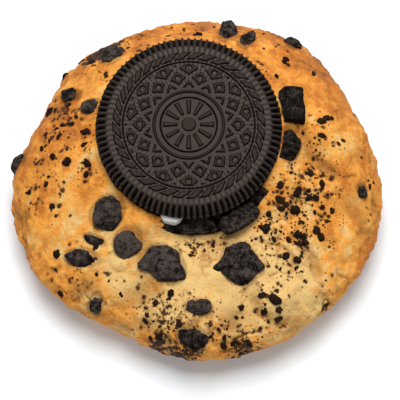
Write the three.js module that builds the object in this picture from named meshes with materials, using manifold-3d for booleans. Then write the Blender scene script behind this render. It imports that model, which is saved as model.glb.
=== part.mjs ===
// A thick stuffed cookie: a domed, baked dough, pale round the middle and steep at its rim, with a
// chocolate sandwich biscuit pressed into its top and broken biscuit pieces set in all over it.
// Millimetres, +Z up. The origin is the middle of the flat underside, and the front, which is the
// lower side of the dome, is towards -Y.

import * as THREE from 'three';
import { mergeVertices } from 'three/addons/utils/BufferGeometryUtils.js';
import Module from 'manifold-3d';

const wasm = await Module();
wasm.setup();

// ---- driving dimensions ----------------------------------------------------------------------

// The dough. Its outline is a circle with a few slow swells: how many round the edge, how high,
// and at what angle the first one has its crest.
const DOUGH_RADIUS = 44.1;
const OUTLINE_SWELLS = [
  { count: 2, tall: 0.9, at: -3 },
  { count: 3, tall: 0.8, at: -46 },
  { count: 4, tall: 0.35, at: 17 },
  { count: 5, tall: 0.8, at: -16 },
  { count: 8, tall: 0.3, at: 0 },
  { count: 9, tall: 0.2, at: 16 },
];
const RIM_HEIGHT = 9;            // where the dough is widest
const FOOT_SHARE = 0.88;         // the flat underside's radius, as a share of the outline's
const CROWN_FRONT = 19.5;        // the dome rises from the front to the back, between two lines
const CROWN_BACK = 28;
const RISE_START = -20;
const RISE_END = 18;
const DOME_POWER = 3.4;          // how flat the dome's top is before it turns down

// Forms on the dough's top: broad swells and hollows, and the cracks and folds between them.
const SWELLS = [
  { name: 'dip before the biscuit', at: [1, -18], reach: [9, 3.5], turn: 0, tall: -1.3 },
  { name: 'pale lobe', at: [20.8, -31.2], reach: [5.5, 4], turn: 15, tall: 1.4 },
  { name: 'valley at the front', at: [-13.6, -21.4], reach: [2.4, 3.6], turn: 0, tall: -1.4 },
  { name: 'pit at the front', at: [-14.1, -30.6], reach: [4.5, 2.2], turn: 55, tall: -1.4 },
  { name: 'pit at the front left', at: [-27.3, -28.1], reach: [3.2, 2], turn: 0, tall: -1.1 },
  { name: 'front fold', at: [8, -36.6], reach: [2, 3.2], turn: 0, tall: -1.1 },
  { name: 'pit at the right', at: [38, -10], reach: [4, 1.8], turn: -50, tall: -1.1 },
  { name: 'right shoulder', at: [31.5, 4.5], reach: [8, 4], turn: -50, tall: 1 },
  { name: 'left shoulder', at: [-35, 6], reach: [7, 4.5], turn: 70, tall: 0.7 },
  { name: 'front shoulder', at: [1, -27.5], reach: [6, 3], turn: 0, tall: 0.6 },
  { name: 'lap over the lower wafer', at: [-14, -13.5], reach: [5.5, 3.2], turn: -38, tall: 1.8 },
  { name: 'lap at the front of the biscuit', at: [-9.5, -14.6], reach: [3, 2.2], turn: 15, tall: 1.2 },
  { name: 'dip under the shard', at: [5.5, -12.8], reach: [3.4, 3], turn: 0, tall: -1.8 },
];
const CREASES = [
  { along: [[25.4, 7], [26.4, 3.2], [29.5, 0.3], [32.4, -1.8]], wide: 1.3, deep: 1.1 },
  { along: [[23.6, -17.2], [26.9, -21.3], [28.3, -24.9]], wide: 1.3, deep: 1.5 },
  { along: [[13.2, -31.7], [14.5, -34.5], [17.9, -36.6], [24, -35.8]], wide: 1.1, deep: 1.4 },
];
const RIPPLES = [                // gentle unevenness: length of the wave, its direction, its height
  { length: 17, towards: 20, tall: 0.22 },
  { length: 13, towards: 100, tall: 0.2 },
  { length: 9, towards: 155, tall: 0.16 },
  { length: 7, towards: 65, tall: 0.12 },
];
const COLLAR_TALL = 1.9;         // dough squeezed up against the biscuit's sides and back
const COLLAR_WIDE = 3.5;
const RELIEF_FADE = 0.12;        // the forms die out over this share of the radius, at the rim

// The sandwich biscuit: two wafers with cream between them, tipped a little to the front.
const BISCUIT_AT = [-2.55, 8.3, 29];   // the middle of its upper face
const BISCUIT_TIP = 6;
const WAFER_RADIUS = 22.5;
const WAFER_THICK = 3.4;
const RIDGES = 92;               // ridges round the edge
const FACE_RADIUS = 19.4;
const RIDGE_OUTER = 22.2;
const RIDGE_DROP = 0.6;
const GROOVE_DROP = 1.5;
const FLANGE = 0.8;              // the smooth rim below the ridges
const MEDALLION_RADIUS = 8.3;
const MEDALLION_WIDE = 0.7;
const MEDALLION_TALL = 0.35;
const CREAM_LAYER = 2.6;         // from wafer to wafer
const CREAM_RADIUS = 19.5;
const CREAM_LOBE = { at: 259, spread: 8, out: 4.4 };  // squeezed out at the front
const LOWER_SHIFT = [0.6, -2.8]; // the lower wafer has slid forward
const GAP = 0.3;                 // between pieces that touch

// Broken pieces that are nodes of their own. size is long, wide and tall; proud is how far the top
// stands above the dough. One beside the biscuit stops a gap short of it, and a boxy one is a
// chamfered block.
const CHUNKS = [
  { name: 'chunk_left_front', at: [-22, -10.9], size: [9.4, 8.2, 5.2], turn: 40, proud: 2.5, beside: true },
  { name: 'chunk_front_a', at: [-17.2, -17.9], size: [7.8, 7, 5], turn: 55, proud: 2.3 },
  { name: 'chunk_front_b', at: [-8.1, -23.4], size: [11.8, 8.4, 6], turn: -48, proud: 2.6 },
  { name: 'chunk_front_c', at: [9.6, -23.3], size: [11.2, 9.2, 6], turn: -72, proud: 2.8 },
  { name: 'chunk_right_a', at: [22.1, 14], size: [9, 6.1, 6], turn: 93, proud: 2.8,
    beside: true, boxy: true },
  { name: 'chunk_right_b', at: [21.5, 4.9], size: [8.2, 5.8, 5], turn: 85, proud: 2, beside: true },
  { name: 'chunk_back_a', at: [7, 35], size: [7.8, 5.2, 5], turn: 85, proud: 2 },
  { name: 'chunk_back_b', at: [11.5, 33], size: [7.2, 3.6, 4.6], turn: 62, proud: 1.7 },
  { name: 'chunk_back_c', at: [23.3, 34.2], size: [4.8, 3.6, 4], turn: -20, proud: 1.6 },
  { name: 'chunk_back_left', at: [-21.3, 28.9], size: [7, 5.4, 4.4], turn: 40, proud: 1.8 },
  { name: 'chunk_left_a', at: [-31.4, 19.2], size: [5.8, 4, 3.8], turn: -20, proud: 1.6 },
  { name: 'chunk_left_b', at: [-26, 14.1], size: [5.2, 4.4, 3.8], turn: -10, proud: 1.5, beside: true },
  { name: 'chunk_left_rim', at: [-44.7, 4.4], size: [5.6, 3.6, 4.4], turn: 82, proud: 2.3 },
  { name: 'chunk_low_a', at: [-28, -21.2], size: [8.6, 4.6, 4.2], turn: -10, proud: 1.9 },
  { name: 'chunk_low_b', at: [-25.1, -17.2], size: [5.6, 2.9, 3.4], turn: -24, proud: 1.3 },
  { name: 'chunk_bottom_a', at: [-24.6, -31.5], size: [5.2, 3.4, 4], turn: 80, proud: 1.6 },
  { name: 'chunk_bottom_b', at: [-1.8, -39.9], size: [8, 5.2, 5], turn: -22, proud: 1.9 },
  { name: 'chunk_bottom_c', at: [-0.4, -33.5], size: [6.8, 3.8, 4], turn: -4, proud: 1.7 },
  { name: 'chunk_right_rim', at: [39.2, -4.1], size: [4.2, 2.8, 3.6], turn: 100, proud: 1.3 },
];
const LARGE_CHUNK = 7;           // from this length a piece has the finer mesh

// The shard is a piece of a wafer's rim, with its round edge outwards and down a little.
const SHARD = {
  name: 'wafer_shard', at: [9.6, -12.7], level: 21, turn: 33, tip: 7, span: 29, wide: 4.8, thick: 3.2,
};
const SHARD_BREAK = [0, 0.4, -0.2, 0.3, 0.1];   // how far the broken edge stands in or out, mm

// Crumbs, part of the dough's own solid, strewn by a rule over the areas that have them.
const STREWN = [
  { name: 'right field', at: [25, -6], reach: [6, 10], count: 11 },
  { name: 'upper right', at: [31, 10], reach: [3, 3.5], count: 6 },
  { name: 'left band', at: [-34, 12], reach: [5, 12], count: 11 },
  { name: 'back left', at: [-30, 28], reach: [6, 4], count: 5 },
  { name: 'beside the biscuit at the left', at: [-27, 2], reach: [2.5, 8], count: 4 },
  { name: 'front left', at: [-29, -22], reach: [6, 7], count: 5 },
  { name: 'front', at: [-9, -35], reach: [6, 5], count: 5 },
  { name: 'front rim', at: [6, -41], reach: [10, 2], count: 5 },
  { name: 'lower right', at: [13, -29], reach: [8, 6], count: 6 },
];
const STREWN_SIZE = [1.5, 4];
const STREWN_SKEW = 1.8;         // above 1 more of them are small
const STREWN_WIDE = 0.5;         // at least this share of the length
const AREA_DRAWS = 1000;         // from one area's random draws to the next one's
const CRUMB_DRAWS = 10;
const CRUMB_CLEAR = 0.6;         // from a crumb to anything else
const CRUMB_TALL = 0.75;         // a crumb's height, as a share of its width
const CRUMB_SEED = 40;           // the first crumb's; the pieces above have theirs from 1
const CRUMB_PROUD = 0.1;         // how far its middle lies above the dough, as the same share

// Meshing.
const DOUGH_SEGMENTS = 80;
const DOME_ROWS = 20;
const DOME_ROW_POWER = 1.35;     // above 1 the rows lie closer together towards the rim
const SIDE_ROWS = 4;
const DISC_SEGMENTS = 48;
const SHARD_SEGMENTS = 8;
const CUTTER_TALL = 12;          // how far a cutting disc reaches above the biscuit
const BREAK_PLANES = 13;
const BREAK_SOFTNESS = 12;       // higher is sharper
const NEAREST_BREAK = 0.72;      // how near a broken face can be, as a share of the piece's reach
const BREAK_SPREAD = 0.28;       // how much further off the others can be
const BOX_FACE = 0.78;           // how near a boxy piece's six sides are, where its broken faces start at 1
const LARGE_DETAIL = 2;
const SMALL_DETAIL = 1;
const CRUMB_DETAIL = 0;

const COLOURS = {
  dough: { color: '#dfa254', roughness: 0.85, metalness: 0 },
  wafer: { color: '#3b3331', roughness: 0.7, metalness: 0 },
  cream: { color: '#e4e2da', roughness: 0.6, metalness: 0 },
};

// ---- small helpers ---------------------------------------------------------------------------

const radians = THREE.MathUtils.degToRad;

// A number from 0 to 1 that looks random and is always the same for the same input.
function chance(n) {
  const wave = Math.sin(n * 127.1 + 311.7) * 43758.5453;
  return wave - Math.floor(wave);
}

// Only positions, with shared corners merged and triangles of no area left out.
function weld(geometry) {
  geometry.deleteAttribute('normal');
  geometry.deleteAttribute('uv');
  const merged = mergeVertices(geometry);
  const corners = Array.from(merged.index.array);
  const kept = [];
  for (let i = 0; i < corners.length; i += 3) {
    const [a, b, c] = corners.slice(i, i + 3);
    if (a !== b && b !== c && c !== a) kept.push(a, b, c);
  }
  merged.setIndex(kept);
  return merged;
}

function toSolid(geometry) {
  return new wasm.Manifold(new wasm.Mesh({
    numProp: 3,
    vertProperties: Float32Array.from(geometry.attributes.position.array),
    triVerts: Uint32Array.from(geometry.index.array),
  }));
}

function toGeometry(solid) {
  const mesh = solid.getMesh();
  const geometry = new THREE.BufferGeometry();
  geometry.setAttribute('position', new THREE.BufferAttribute(mesh.vertProperties, 3));
  geometry.setIndex(new THREE.BufferAttribute(mesh.triVerts, 1));
  return geometry;
}

function makeMesh(name, geometry, colour) {
  geometry.computeVertexNormals();
  const mesh = new THREE.Mesh(geometry, new THREE.MeshStandardMaterial(COLOURS[colour]));
  mesh.name = name;
  return mesh;
}

// ---- the dough's form ------------------------------------------------------------------------

function outline(angle) {
  const swell = OUTLINE_SWELLS.map((s) => s.tall * Math.cos(s.count * (angle - radians(s.at))));
  return DOUGH_RADIUS + swell.reduce((sum, value) => sum + value, 0);
}

// The distance from (x, y) to the nearest part of a line through several points.
function distanceToLine(x, y, points) {
  const steps = points.slice(1).map(([bx, by], i) => {
    const [ax, ay] = points[i];
    const along = ((x - ax) * (bx - ax) + (y - ay) * (by - ay)) / ((bx - ax) ** 2 + (by - ay) ** 2);
    const share = THREE.MathUtils.clamp(along, 0, 1);
    return Math.hypot(x - ax - share * (bx - ax), y - ay - share * (by - ay));
  });
  return Math.min(...steps);
}

// Swells and hollows are bells, creases are bell-shaped furrows, and ripples are sine waves.
function relief(x, y) {
  let height = 0;
  for (const { at, reach, turn, tall } of SWELLS) {
    const [c, s] = [Math.cos(radians(turn)), Math.sin(radians(turn))];
    const along = ((x - at[0]) * c + (y - at[1]) * s) / reach[0];
    const across = ((y - at[1]) * c - (x - at[0]) * s) / reach[1];
    height += tall * Math.exp(-(along ** 2 + across ** 2));
  }
  for (const { along, wide, deep } of CREASES) {
    height -= deep * Math.exp(-((distanceToLine(x, y, along) / wide) ** 2));
  }
  for (const { length, towards, tall } of RIPPLES) {
    const along = x * Math.cos(radians(towards)) + y * Math.sin(radians(towards));
    height += tall * Math.sin((2 * Math.PI * along) / length + towards);
  }
  return height;
}

// The ridge of dough round the biscuit, highest behind it and gone in front of it.
function collar(x, y) {
  const [dx, dy] = [x - BISCUIT_AT[0], y - BISCUIT_AT[1]];
  const out = Math.hypot(dx, dy);
  const behind = (1 + dy / Math.max(out, 1)) / 2;
  return COLLAR_TALL * behind * Math.exp(-(((out - WAFER_RADIUS) / COLLAR_WIDE) ** 2));
}

// The height of the dough's top over (x, y).
function doughTop(x, y) {
  const share = Math.min(Math.hypot(x, y) / outline(Math.atan2(y, x)), 1);
  const rise = THREE.MathUtils.smoothstep(y, RISE_START, RISE_END);
  const crown = CROWN_FRONT + (CROWN_BACK - CROWN_FRONT) * rise;
  const dome = RIM_HEIGHT + (crown - RIM_HEIGHT) * Math.sqrt(1 - share ** DOME_POWER);
  const fade = Math.min((1 - share) / RELIEF_FADE, 1);
  return dome + (relief(x, y) + collar(x, y)) * fade;
}

// A lathe of shares of the outline's radius, with every point then moved to the dough's own form:
// a flat underside, a rounded side up to the rim, and the dome.
function doughForm() {
  const profile = [new THREE.Vector2(0, 0)];
  for (let i = 0; i <= SIDE_ROWS; i += 1) {
    const up = (Math.PI / 2) * (1 - i / SIDE_ROWS);
    profile.push(new THREE.Vector2(FOOT_SHARE + (1 - FOOT_SHARE) * Math.cos(up), 1 - Math.sin(up)));
  }
  for (let i = 1; i <= DOME_ROWS; i += 1) {
    profile.push(new THREE.Vector2(1 - (i / DOME_ROWS) ** DOME_ROW_POWER, 1 + i));
  }
  const form = new THREE.LatheGeometry(profile, DOUGH_SEGMENTS);
  form.rotateX(Math.PI / 2);
  const place = form.attributes.position;
  for (let i = 0; i < place.count; i += 1) {
    const radius = outline(Math.atan2(place.getY(i), place.getX(i)));
    const [x, y, level] = [place.getX(i) * radius, place.getY(i) * radius, place.getZ(i)];
    place.setXYZ(i, x, y, level > 1 ? doughTop(x, y) : level * RIM_HEIGHT);
  }
  return weld(form);
}

// ---- broken pieces ---------------------------------------------------------------------------

// A boxy piece's six sides: which way each faces, and how far off it is.
function boxSides() {
  const axes = [new THREE.Vector3(1, 0, 0), new THREE.Vector3(0, 1, 0), new THREE.Vector3(0, 0, 1)];
  return [1, -1].flatMap((side) => axes.map((axis) => (
    { facing: axis.clone().multiplyScalar(side), distance: BOX_FACE })));
}

// A ball's points are drawn in to a dozen softened planes that face all ways, spread by the golden
// angle and set nearer or further by chance. A boxy piece has six sides nearer than all of them.
// The result is stretched to the size asked for.
function brokenPiece(size, seed, detail, boxy = false) {
  const planes = boxy ? boxSides() : [];
  const nearest = boxy ? 1 : NEAREST_BREAK;
  for (let i = 0; i < BREAK_PLANES; i += 1) {
    const z = 1 - (2 * i + 1) / BREAK_PLANES;
    const angle = i * Math.PI * (3 - Math.sqrt(5)) + 2 * Math.PI * chance(seed);
    const facing = new THREE.Vector3(Math.cos(angle), Math.sin(angle), 0);
    facing.multiplyScalar(Math.sqrt(1 - z * z)).setZ(z);
    planes.push({ facing, distance: nearest + BREAK_SPREAD * chance(seed * 31 + i) });
  }
  const form = new THREE.IcosahedronGeometry(1, detail);
  const place = form.attributes.position;
  const point = new THREE.Vector3();
  for (let i = 0; i < place.count; i += 1) {
    point.fromBufferAttribute(place, i).normalize();
    const pull = planes.reduce((sum, { facing, distance }) => (
      sum + Math.max(point.dot(facing) / distance, 0) ** BREAK_SOFTNESS), 0);
    point.multiplyScalar(pull ** (-1 / BREAK_SOFTNESS));
    place.setXYZ(i, point.x, point.y, point.z);
  }
  form.center();
  const box = new THREE.Box3().setFromBufferAttribute(place).getSize(point);
  form.scale(size[0] / box.x, size[1] / box.y, size[2] / box.z);
  return weld(form);
}

function chunkForm({ size, seed, boxy }, grow = 0) {
  const detail = size[0] > LARGE_CHUNK ? LARGE_DETAIL : SMALL_DETAIL;
  return brokenPiece(size.map((side) => side + 2 * grow), seed, detail, boxy);
}

// An arc of the wafer's rim, round towards -Y and broken off in a ragged line at the back.
function shardForm({ span, wide, thick }, grow = 0) {
  const half = radians(span / 2) + grow / WAFER_RADIUS;
  const middle = WAFER_RADIUS - wide / 2;
  const shape = new THREE.Shape();
  shape.absarc(0, middle, WAFER_RADIUS + grow, -Math.PI / 2 - half, -Math.PI / 2 + half);
  SHARD_BREAK.forEach((stand, i) => {
    const angle = half * (1 - (2 * i) / (SHARD_BREAK.length - 1));
    const radius = WAFER_RADIUS - wide - grow + stand;
    shape.lineTo(radius * Math.sin(angle), middle - radius * Math.cos(angle));
  });
  const depth = thick + 2 * grow;
  const form = new THREE.ExtrudeGeometry(shape, {
    depth, bevelEnabled: false, curveSegments: SHARD_SEGMENTS,
  });
  return weld(form.translate(0, 0, -depth / 2));
}

// Where a broken piece lies in the cookie's own frame.
function pieceFrame({ at, size, turn, proud, level, tip = 0 }) {
  const height = level ?? doughTop(at[0], at[1]) + proud - size[2] / 2;
  const tilt = new THREE.Euler(radians(tip), 0, radians(turn), 'ZYX');
  return new THREE.Matrix4().makeRotationFromEuler(tilt).setPosition(at[0], at[1], height);
}

function pieceMesh(piece, form) {
  const mesh = makeMesh(piece.name, form, 'wafer');
  mesh.applyMatrix4(pieceFrame(piece));
  return mesh;
}

// A broken piece, cut off a gap short of the biscuit where it lies beside it.
function chunkMesh(chunk) {
  if (!chunk.beside) return pieceMesh(chunk, chunkForm(chunk));
  const whole = pieceCutter(chunk, chunkForm(chunk));
  const rest = whole.subtract(upperCutter()).subtract(lowerCutter());
  return makeMesh(chunk.name, toGeometry(rest), 'wafer');
}

// The same piece a gap larger all round, to cut its socket with.
function pieceCutter(piece, grownForm) {
  return toSolid(grownForm.applyMatrix4(pieceFrame(piece)));
}

// ---- the biscuit -----------------------------------------------------------------------------

// A disc from one height to another, as a lathe.
function disc(radius, low, high, edge = 0) {
  const profile = [
    new THREE.Vector2(0, low), new THREE.Vector2(radius - edge, low),
    new THREE.Vector2(radius, low + edge), new THREE.Vector2(radius, high - edge),
    new THREE.Vector2(radius - edge, high), new THREE.Vector2(0, high),
  ];
  return weld(new THREE.LatheGeometry(profile, DISC_SEGMENTS).rotateX(Math.PI / 2));
}

// The upper wafer: a flat face, a sloping band of ridges, and a smooth flange under it. Every
// second column of the lathe is a groove. A raised ring on the face frames its middle.
function ridgedWafer() {
  const profile = [
    new THREE.Vector2(0, -WAFER_THICK),
    new THREE.Vector2(WAFER_RADIUS, -WAFER_THICK),
    new THREE.Vector2(WAFER_RADIUS, -WAFER_THICK + FLANGE),
    new THREE.Vector2(RIDGE_OUTER, -WAFER_THICK + FLANGE),
    new THREE.Vector2(RIDGE_OUTER, -RIDGE_DROP),
    new THREE.Vector2(FACE_RADIUS, 0),
    new THREE.Vector2(0, 0),
  ];
  const ridgeTop = profile.length - 3;
  const form = new THREE.LatheGeometry(profile, RIDGES * 2);
  for (let column = 1; column < RIDGES * 2; column += 2) {
    form.attributes.position.setY(column * profile.length + ridgeTop, -GROOVE_DROP);
  }
  form.rotateX(Math.PI / 2);
  return toGeometry(toSolid(weld(form)).add(toSolid(medallionRing())));
}

function medallionRing() {
  const [inner, outer] = [MEDALLION_RADIUS - MEDALLION_WIDE / 2, MEDALLION_RADIUS + MEDALLION_WIDE / 2];
  const profile = [
    new THREE.Vector2(inner, -MEDALLION_TALL), new THREE.Vector2(outer, -MEDALLION_TALL),
    new THREE.Vector2(outer, MEDALLION_TALL), new THREE.Vector2(inner, MEDALLION_TALL),
    new THREE.Vector2(inner, -MEDALLION_TALL),
  ];
  return weld(new THREE.LatheGeometry(profile, DISC_SEGMENTS).rotateX(Math.PI / 2));
}

// The cream is a disc with one lobe squeezed out past the wafers.
function creamDisc(low, high, grow = 0) {
  const form = disc(CREAM_RADIUS + grow, low, high, GAP);
  const place = form.attributes.position;
  for (let i = 0; i < place.count; i += 1) {
    const [x, y] = [place.getX(i), place.getY(i)];
    const towards = THREE.MathUtils.radToDeg(Math.atan2(y, x)) + 360;
    const off = Math.abs(towards - CREAM_LOBE.at) / CREAM_LOBE.spread;
    const reach = 1 + (CREAM_LOBE.out / CREAM_RADIUS) * Math.exp(-(off ** 4));
    place.setXYZ(i, x * reach, y * reach, place.getZ(i));
  }
  return form;
}

// The levels of the layers under the biscuit's face.
const CREAM_TOP = -WAFER_THICK - GAP;
const LOWER_TOP = -WAFER_THICK - CREAM_LAYER;
const CREAM_FLOOR = LOWER_TOP + GAP;
const LOWER_FLOOR = LOWER_TOP - WAFER_THICK;

const biscuitFrame = new THREE.Matrix4().compose(
  new THREE.Vector3(...BISCUIT_AT),
  new THREE.Quaternion().setFromEuler(new THREE.Euler(radians(BISCUIT_TIP), 0, 0)),
  new THREE.Vector3(1, 1, 1),
);

// The lower wafer lies with its plain side up, and is broken off where the shard lies.
function lowerWafer() {
  const form = disc(WAFER_RADIUS, LOWER_FLOOR, LOWER_TOP, GAP).translate(...LOWER_SHIFT, 0);
  const shard = pieceCutter(SHARD, shardForm(SHARD, GAP));
  const whole = toSolid(form.applyMatrix4(biscuitFrame)).subtract(shard);
  return toGeometry(whole).applyMatrix4(biscuitFrame.clone().invert());
}

// What the biscuit takes out of the dough.
function seatCutters() {
  const cream = creamDisc(LOWER_TOP, CREAM_TOP + 2 * GAP, GAP);
  return [upperCutter(), lowerCutter(), toSolid(cream.applyMatrix4(biscuitFrame))];
}

function upperCutter() {
  return toSolid(disc(WAFER_RADIUS + GAP, LOWER_TOP, CUTTER_TALL).applyMatrix4(biscuitFrame));
}

function lowerCutter() {
  const lower = disc(WAFER_RADIUS + GAP, LOWER_FLOOR - GAP, LOWER_TOP + GAP).translate(...LOWER_SHIFT, 0);
  return toSolid(lower.applyMatrix4(biscuitFrame));
}

// ---- crumbs ----------------------------------------------------------------------------------

// Each crumb is tried at a place by chance inside its area, and is left out where it would come too
// near to something else.
function crumbList() {
  const crumbs = [];
  const lowerAt = [BISCUIT_AT[0] + LOWER_SHIFT[0], BISCUIT_AT[1] + LOWER_SHIFT[1]];
  const isClear = ([x, y], radius) => {
    const apart = (other, reach) => Math.hypot(x - other[0], y - other[1]) > reach + radius + CRUMB_CLEAR;
    return apart(BISCUIT_AT, WAFER_RADIUS) && apart(lowerAt, WAFER_RADIUS)
      && Math.hypot(x, y) < outline(Math.atan2(y, x))
      && apart(SHARD.at, WAFER_RADIUS * Math.sin(radians(SHARD.span / 2)))
      && CHUNKS.every((chunk) => apart(chunk.at, Math.hypot(chunk.size[0], chunk.size[1]) / 2))
      && crumbs.every((crumb) => apart(crumb.at, crumb.size[0] / 2));
  };
  STREWN.forEach(({ at, reach, count }, area) => {
    for (let i = 0; i < count; i += 1) {
      const draw = (n) => chance(AREA_DRAWS * (area + 1) + CRUMB_DRAWS * i + n);
      const [out, angle] = [Math.sqrt(draw(0)), 2 * Math.PI * draw(1)];
      const place = [at[0] + reach[0] * out * Math.cos(angle), at[1] + reach[1] * out * Math.sin(angle)];
      const long = STREWN_SIZE[0] + (STREWN_SIZE[1] - STREWN_SIZE[0]) * draw(2) ** STREWN_SKEW;
      if (isClear(place, long / 2)) {
        const wide = long * (STREWN_WIDE + (1 - STREWN_WIDE) * draw(3));
        crumbs.push({ at: place, size: [long, wide], turn: 180 * draw(4) });
      }
    }
  });
  return crumbs;
}

function crumbSolid({ at, size, turn }, index) {
  const form = brokenPiece([size[0], size[1], size[1] * CRUMB_TALL], index + CRUMB_SEED, CRUMB_DETAIL);
  form.rotateZ(radians(turn));
  form.translate(at[0], at[1], doughTop(at[0], at[1]) + size[1] * CRUMB_PROUD);
  return toSolid(form);
}

// ---- the whole -------------------------------------------------------------------------------

// The dough with its crumbs on. Where two sockets leave a loose sliver between them, it is dropped.
function dough(chunks) {
  const cutters = [
    ...seatCutters(),
    pieceCutter(SHARD, shardForm(SHARD, GAP)),
    ...chunks.map((chunk) => pieceCutter(chunk, chunkForm(chunk, GAP))),
  ];
  const parts = cutters.reduce((rest, cutter) => rest.subtract(cutter), toSolid(doughForm())).decompose();
  const cut = parts.reduce((most, other) => (other.volume() > most.volume() ? other : most));
  const whole = crumbList().map(crumbSolid).reduce((rest, crumb) => rest.add(crumb), cut);
  return makeMesh('dough', toGeometry(whole), 'dough');
}

function biscuit() {
  const group = new THREE.Group();
  group.applyMatrix4(biscuitFrame);
  group.add(makeMesh('wafer_top', ridgedWafer(), 'wafer'));
  group.add(makeMesh('cream', creamDisc(CREAM_FLOOR, CREAM_TOP), 'cream'));
  group.add(makeMesh('wafer_bottom', lowerWafer(), 'wafer'));
  return group;
}

const chunks = CHUNKS.map((chunk, index) => ({ ...chunk, seed: index + 1 }));

const cookie = new THREE.Group();
cookie.add(dough(chunks));
cookie.add(biscuit());
cookie.add(pieceMesh(SHARD, shardForm(SHARD)));
chunks.forEach((chunk) => cookie.add(chunkMesh(chunk)));

export default cookie;
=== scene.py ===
"""A thick stuffed cookie with a sandwich biscuit pressed into its top, made as Blender meshes.

Everything is in metres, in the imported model's frame: +Z up, the origin in the middle of the flat
underside, the lower side of the dome towards -Y. The rows of sizes below are written in millimetres
and turned into metres by mm().
"""

import math

import bpy
import numpy as np
from bpy.props import FloatProperty, FloatVectorProperty, IntProperty, PointerProperty
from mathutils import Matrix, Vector


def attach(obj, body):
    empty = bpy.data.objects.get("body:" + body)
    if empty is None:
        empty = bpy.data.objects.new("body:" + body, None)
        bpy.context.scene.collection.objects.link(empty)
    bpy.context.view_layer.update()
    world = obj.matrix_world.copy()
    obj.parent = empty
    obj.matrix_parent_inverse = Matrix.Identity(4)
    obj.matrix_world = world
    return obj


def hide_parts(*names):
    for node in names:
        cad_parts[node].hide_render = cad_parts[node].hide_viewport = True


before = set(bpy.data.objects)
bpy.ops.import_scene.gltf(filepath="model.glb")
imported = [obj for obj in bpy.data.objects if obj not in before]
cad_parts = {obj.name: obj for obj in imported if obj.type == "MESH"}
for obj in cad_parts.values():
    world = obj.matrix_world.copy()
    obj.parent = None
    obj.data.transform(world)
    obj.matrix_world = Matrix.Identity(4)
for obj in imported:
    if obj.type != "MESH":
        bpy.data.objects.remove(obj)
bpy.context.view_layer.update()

bl_info = {
    "name": "Stuffed Cookie",
    "version": (1, 0, 0),
    "blender": (4, 5, 0),
    "location": "3D View > Sidebar > Cookie",
    "description": "Makes a stuffed cookie with a sandwich biscuit pressed into its top",
    "category": "Add Mesh",
}

BODY = "root"


def mm(*sizes):
    """Millimetres as metres: one number, or a tuple of them."""
    metres = tuple(size * 0.001 for size in sizes)
    return metres[0] if len(metres) == 1 else metres


# ---- sizes and places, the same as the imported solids' ------------------------------------------

# The dough's outline is a circle with slow swells: how many round the edge, how high, first crest.
OUTLINE_SWELLS = [
    (2, mm(0.9), -3), (3, mm(0.8), -46), (4, mm(0.35), 17),
    (5, mm(0.8), -16), (8, mm(0.3), 0), (9, mm(0.2), 16),
]
FOOT_SHARE = 0.88
RISE = mm(-20, 18)               # the dome rises to the back between these two lines
DOME_POWER = 3.4
RELIEF_FADE = 0.12
COLLAR_TALL = mm(1.9)
COLLAR_WIDE = mm(3.5)

# Broad swells and hollows: middle, reach along and across, turn in degrees, height.
SWELLS = [
    (mm(1, -18), mm(9, 3.5), 0, mm(-1.3)),
    (mm(20.8, -31.2), mm(5.5, 4), 15, mm(1.4)),
    (mm(-13.6, -21.4), mm(2.4, 3.6), 0, mm(-1.4)),
    (mm(-14.1, -30.6), mm(4.5, 2.2), 55, mm(-1.4)),
    (mm(-27.3, -28.1), mm(3.2, 2), 0, mm(-1.1)),
    (mm(8, -36.6), mm(2, 3.2), 0, mm(-1.1)),
    (mm(38, -10), mm(4, 1.8), -50, mm(-1.1)),
    (mm(31.5, 4.5), mm(8, 4), -50, mm(1)),
    (mm(-35, 6), mm(7, 4.5), 70, mm(0.7)),
    (mm(1, -27.5), mm(6, 3), 0, mm(0.6)),
    (mm(-14, -13.5), mm(5.5, 3.2), -38, mm(1.8)),
    (mm(-9.5, -14.6), mm(3, 2.2), 15, mm(1.2)),
    (mm(5.5, -12.8), mm(3.4, 3), 0, mm(-1.8)),
]
# Creases: the points they run through, their width and depth.
CREASES = [
    ([mm(25.4, 7), mm(26.4, 3.2), mm(29.5, 0.3), mm(32.4, -1.8)], mm(1.3), mm(1.1)),
    ([mm(23.6, -17.2), mm(26.9, -21.3), mm(28.3, -24.9)], mm(1.3), mm(1.5)),
    ([mm(13.2, -31.7), mm(14.5, -34.5), mm(17.9, -36.6), mm(24, -35.8)], mm(1.1), mm(1.4)),
]
RIPPLES = [(mm(17), 20, mm(0.22)), (mm(13), 100, mm(0.2)), (mm(9), 155, mm(0.16)), (mm(7), 65, mm(0.12))]

# The biscuit's layers, in its own frame with its face at height nought.
FACE_RADIUS = mm(19.4)
CREAM_LAYER = mm(2.6)
CREAM_RADIUS = mm(19.5)
CREAM_LOBE = (259, 8, mm(4.4))  # its direction, its spread in degrees, how far it is squeezed out
LOWER_SHIFT = mm(0.6, -2.8)
MEDALLION_RADIUS = mm(8.3)
MEDALLION_WIDE = mm(0.7)

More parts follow.
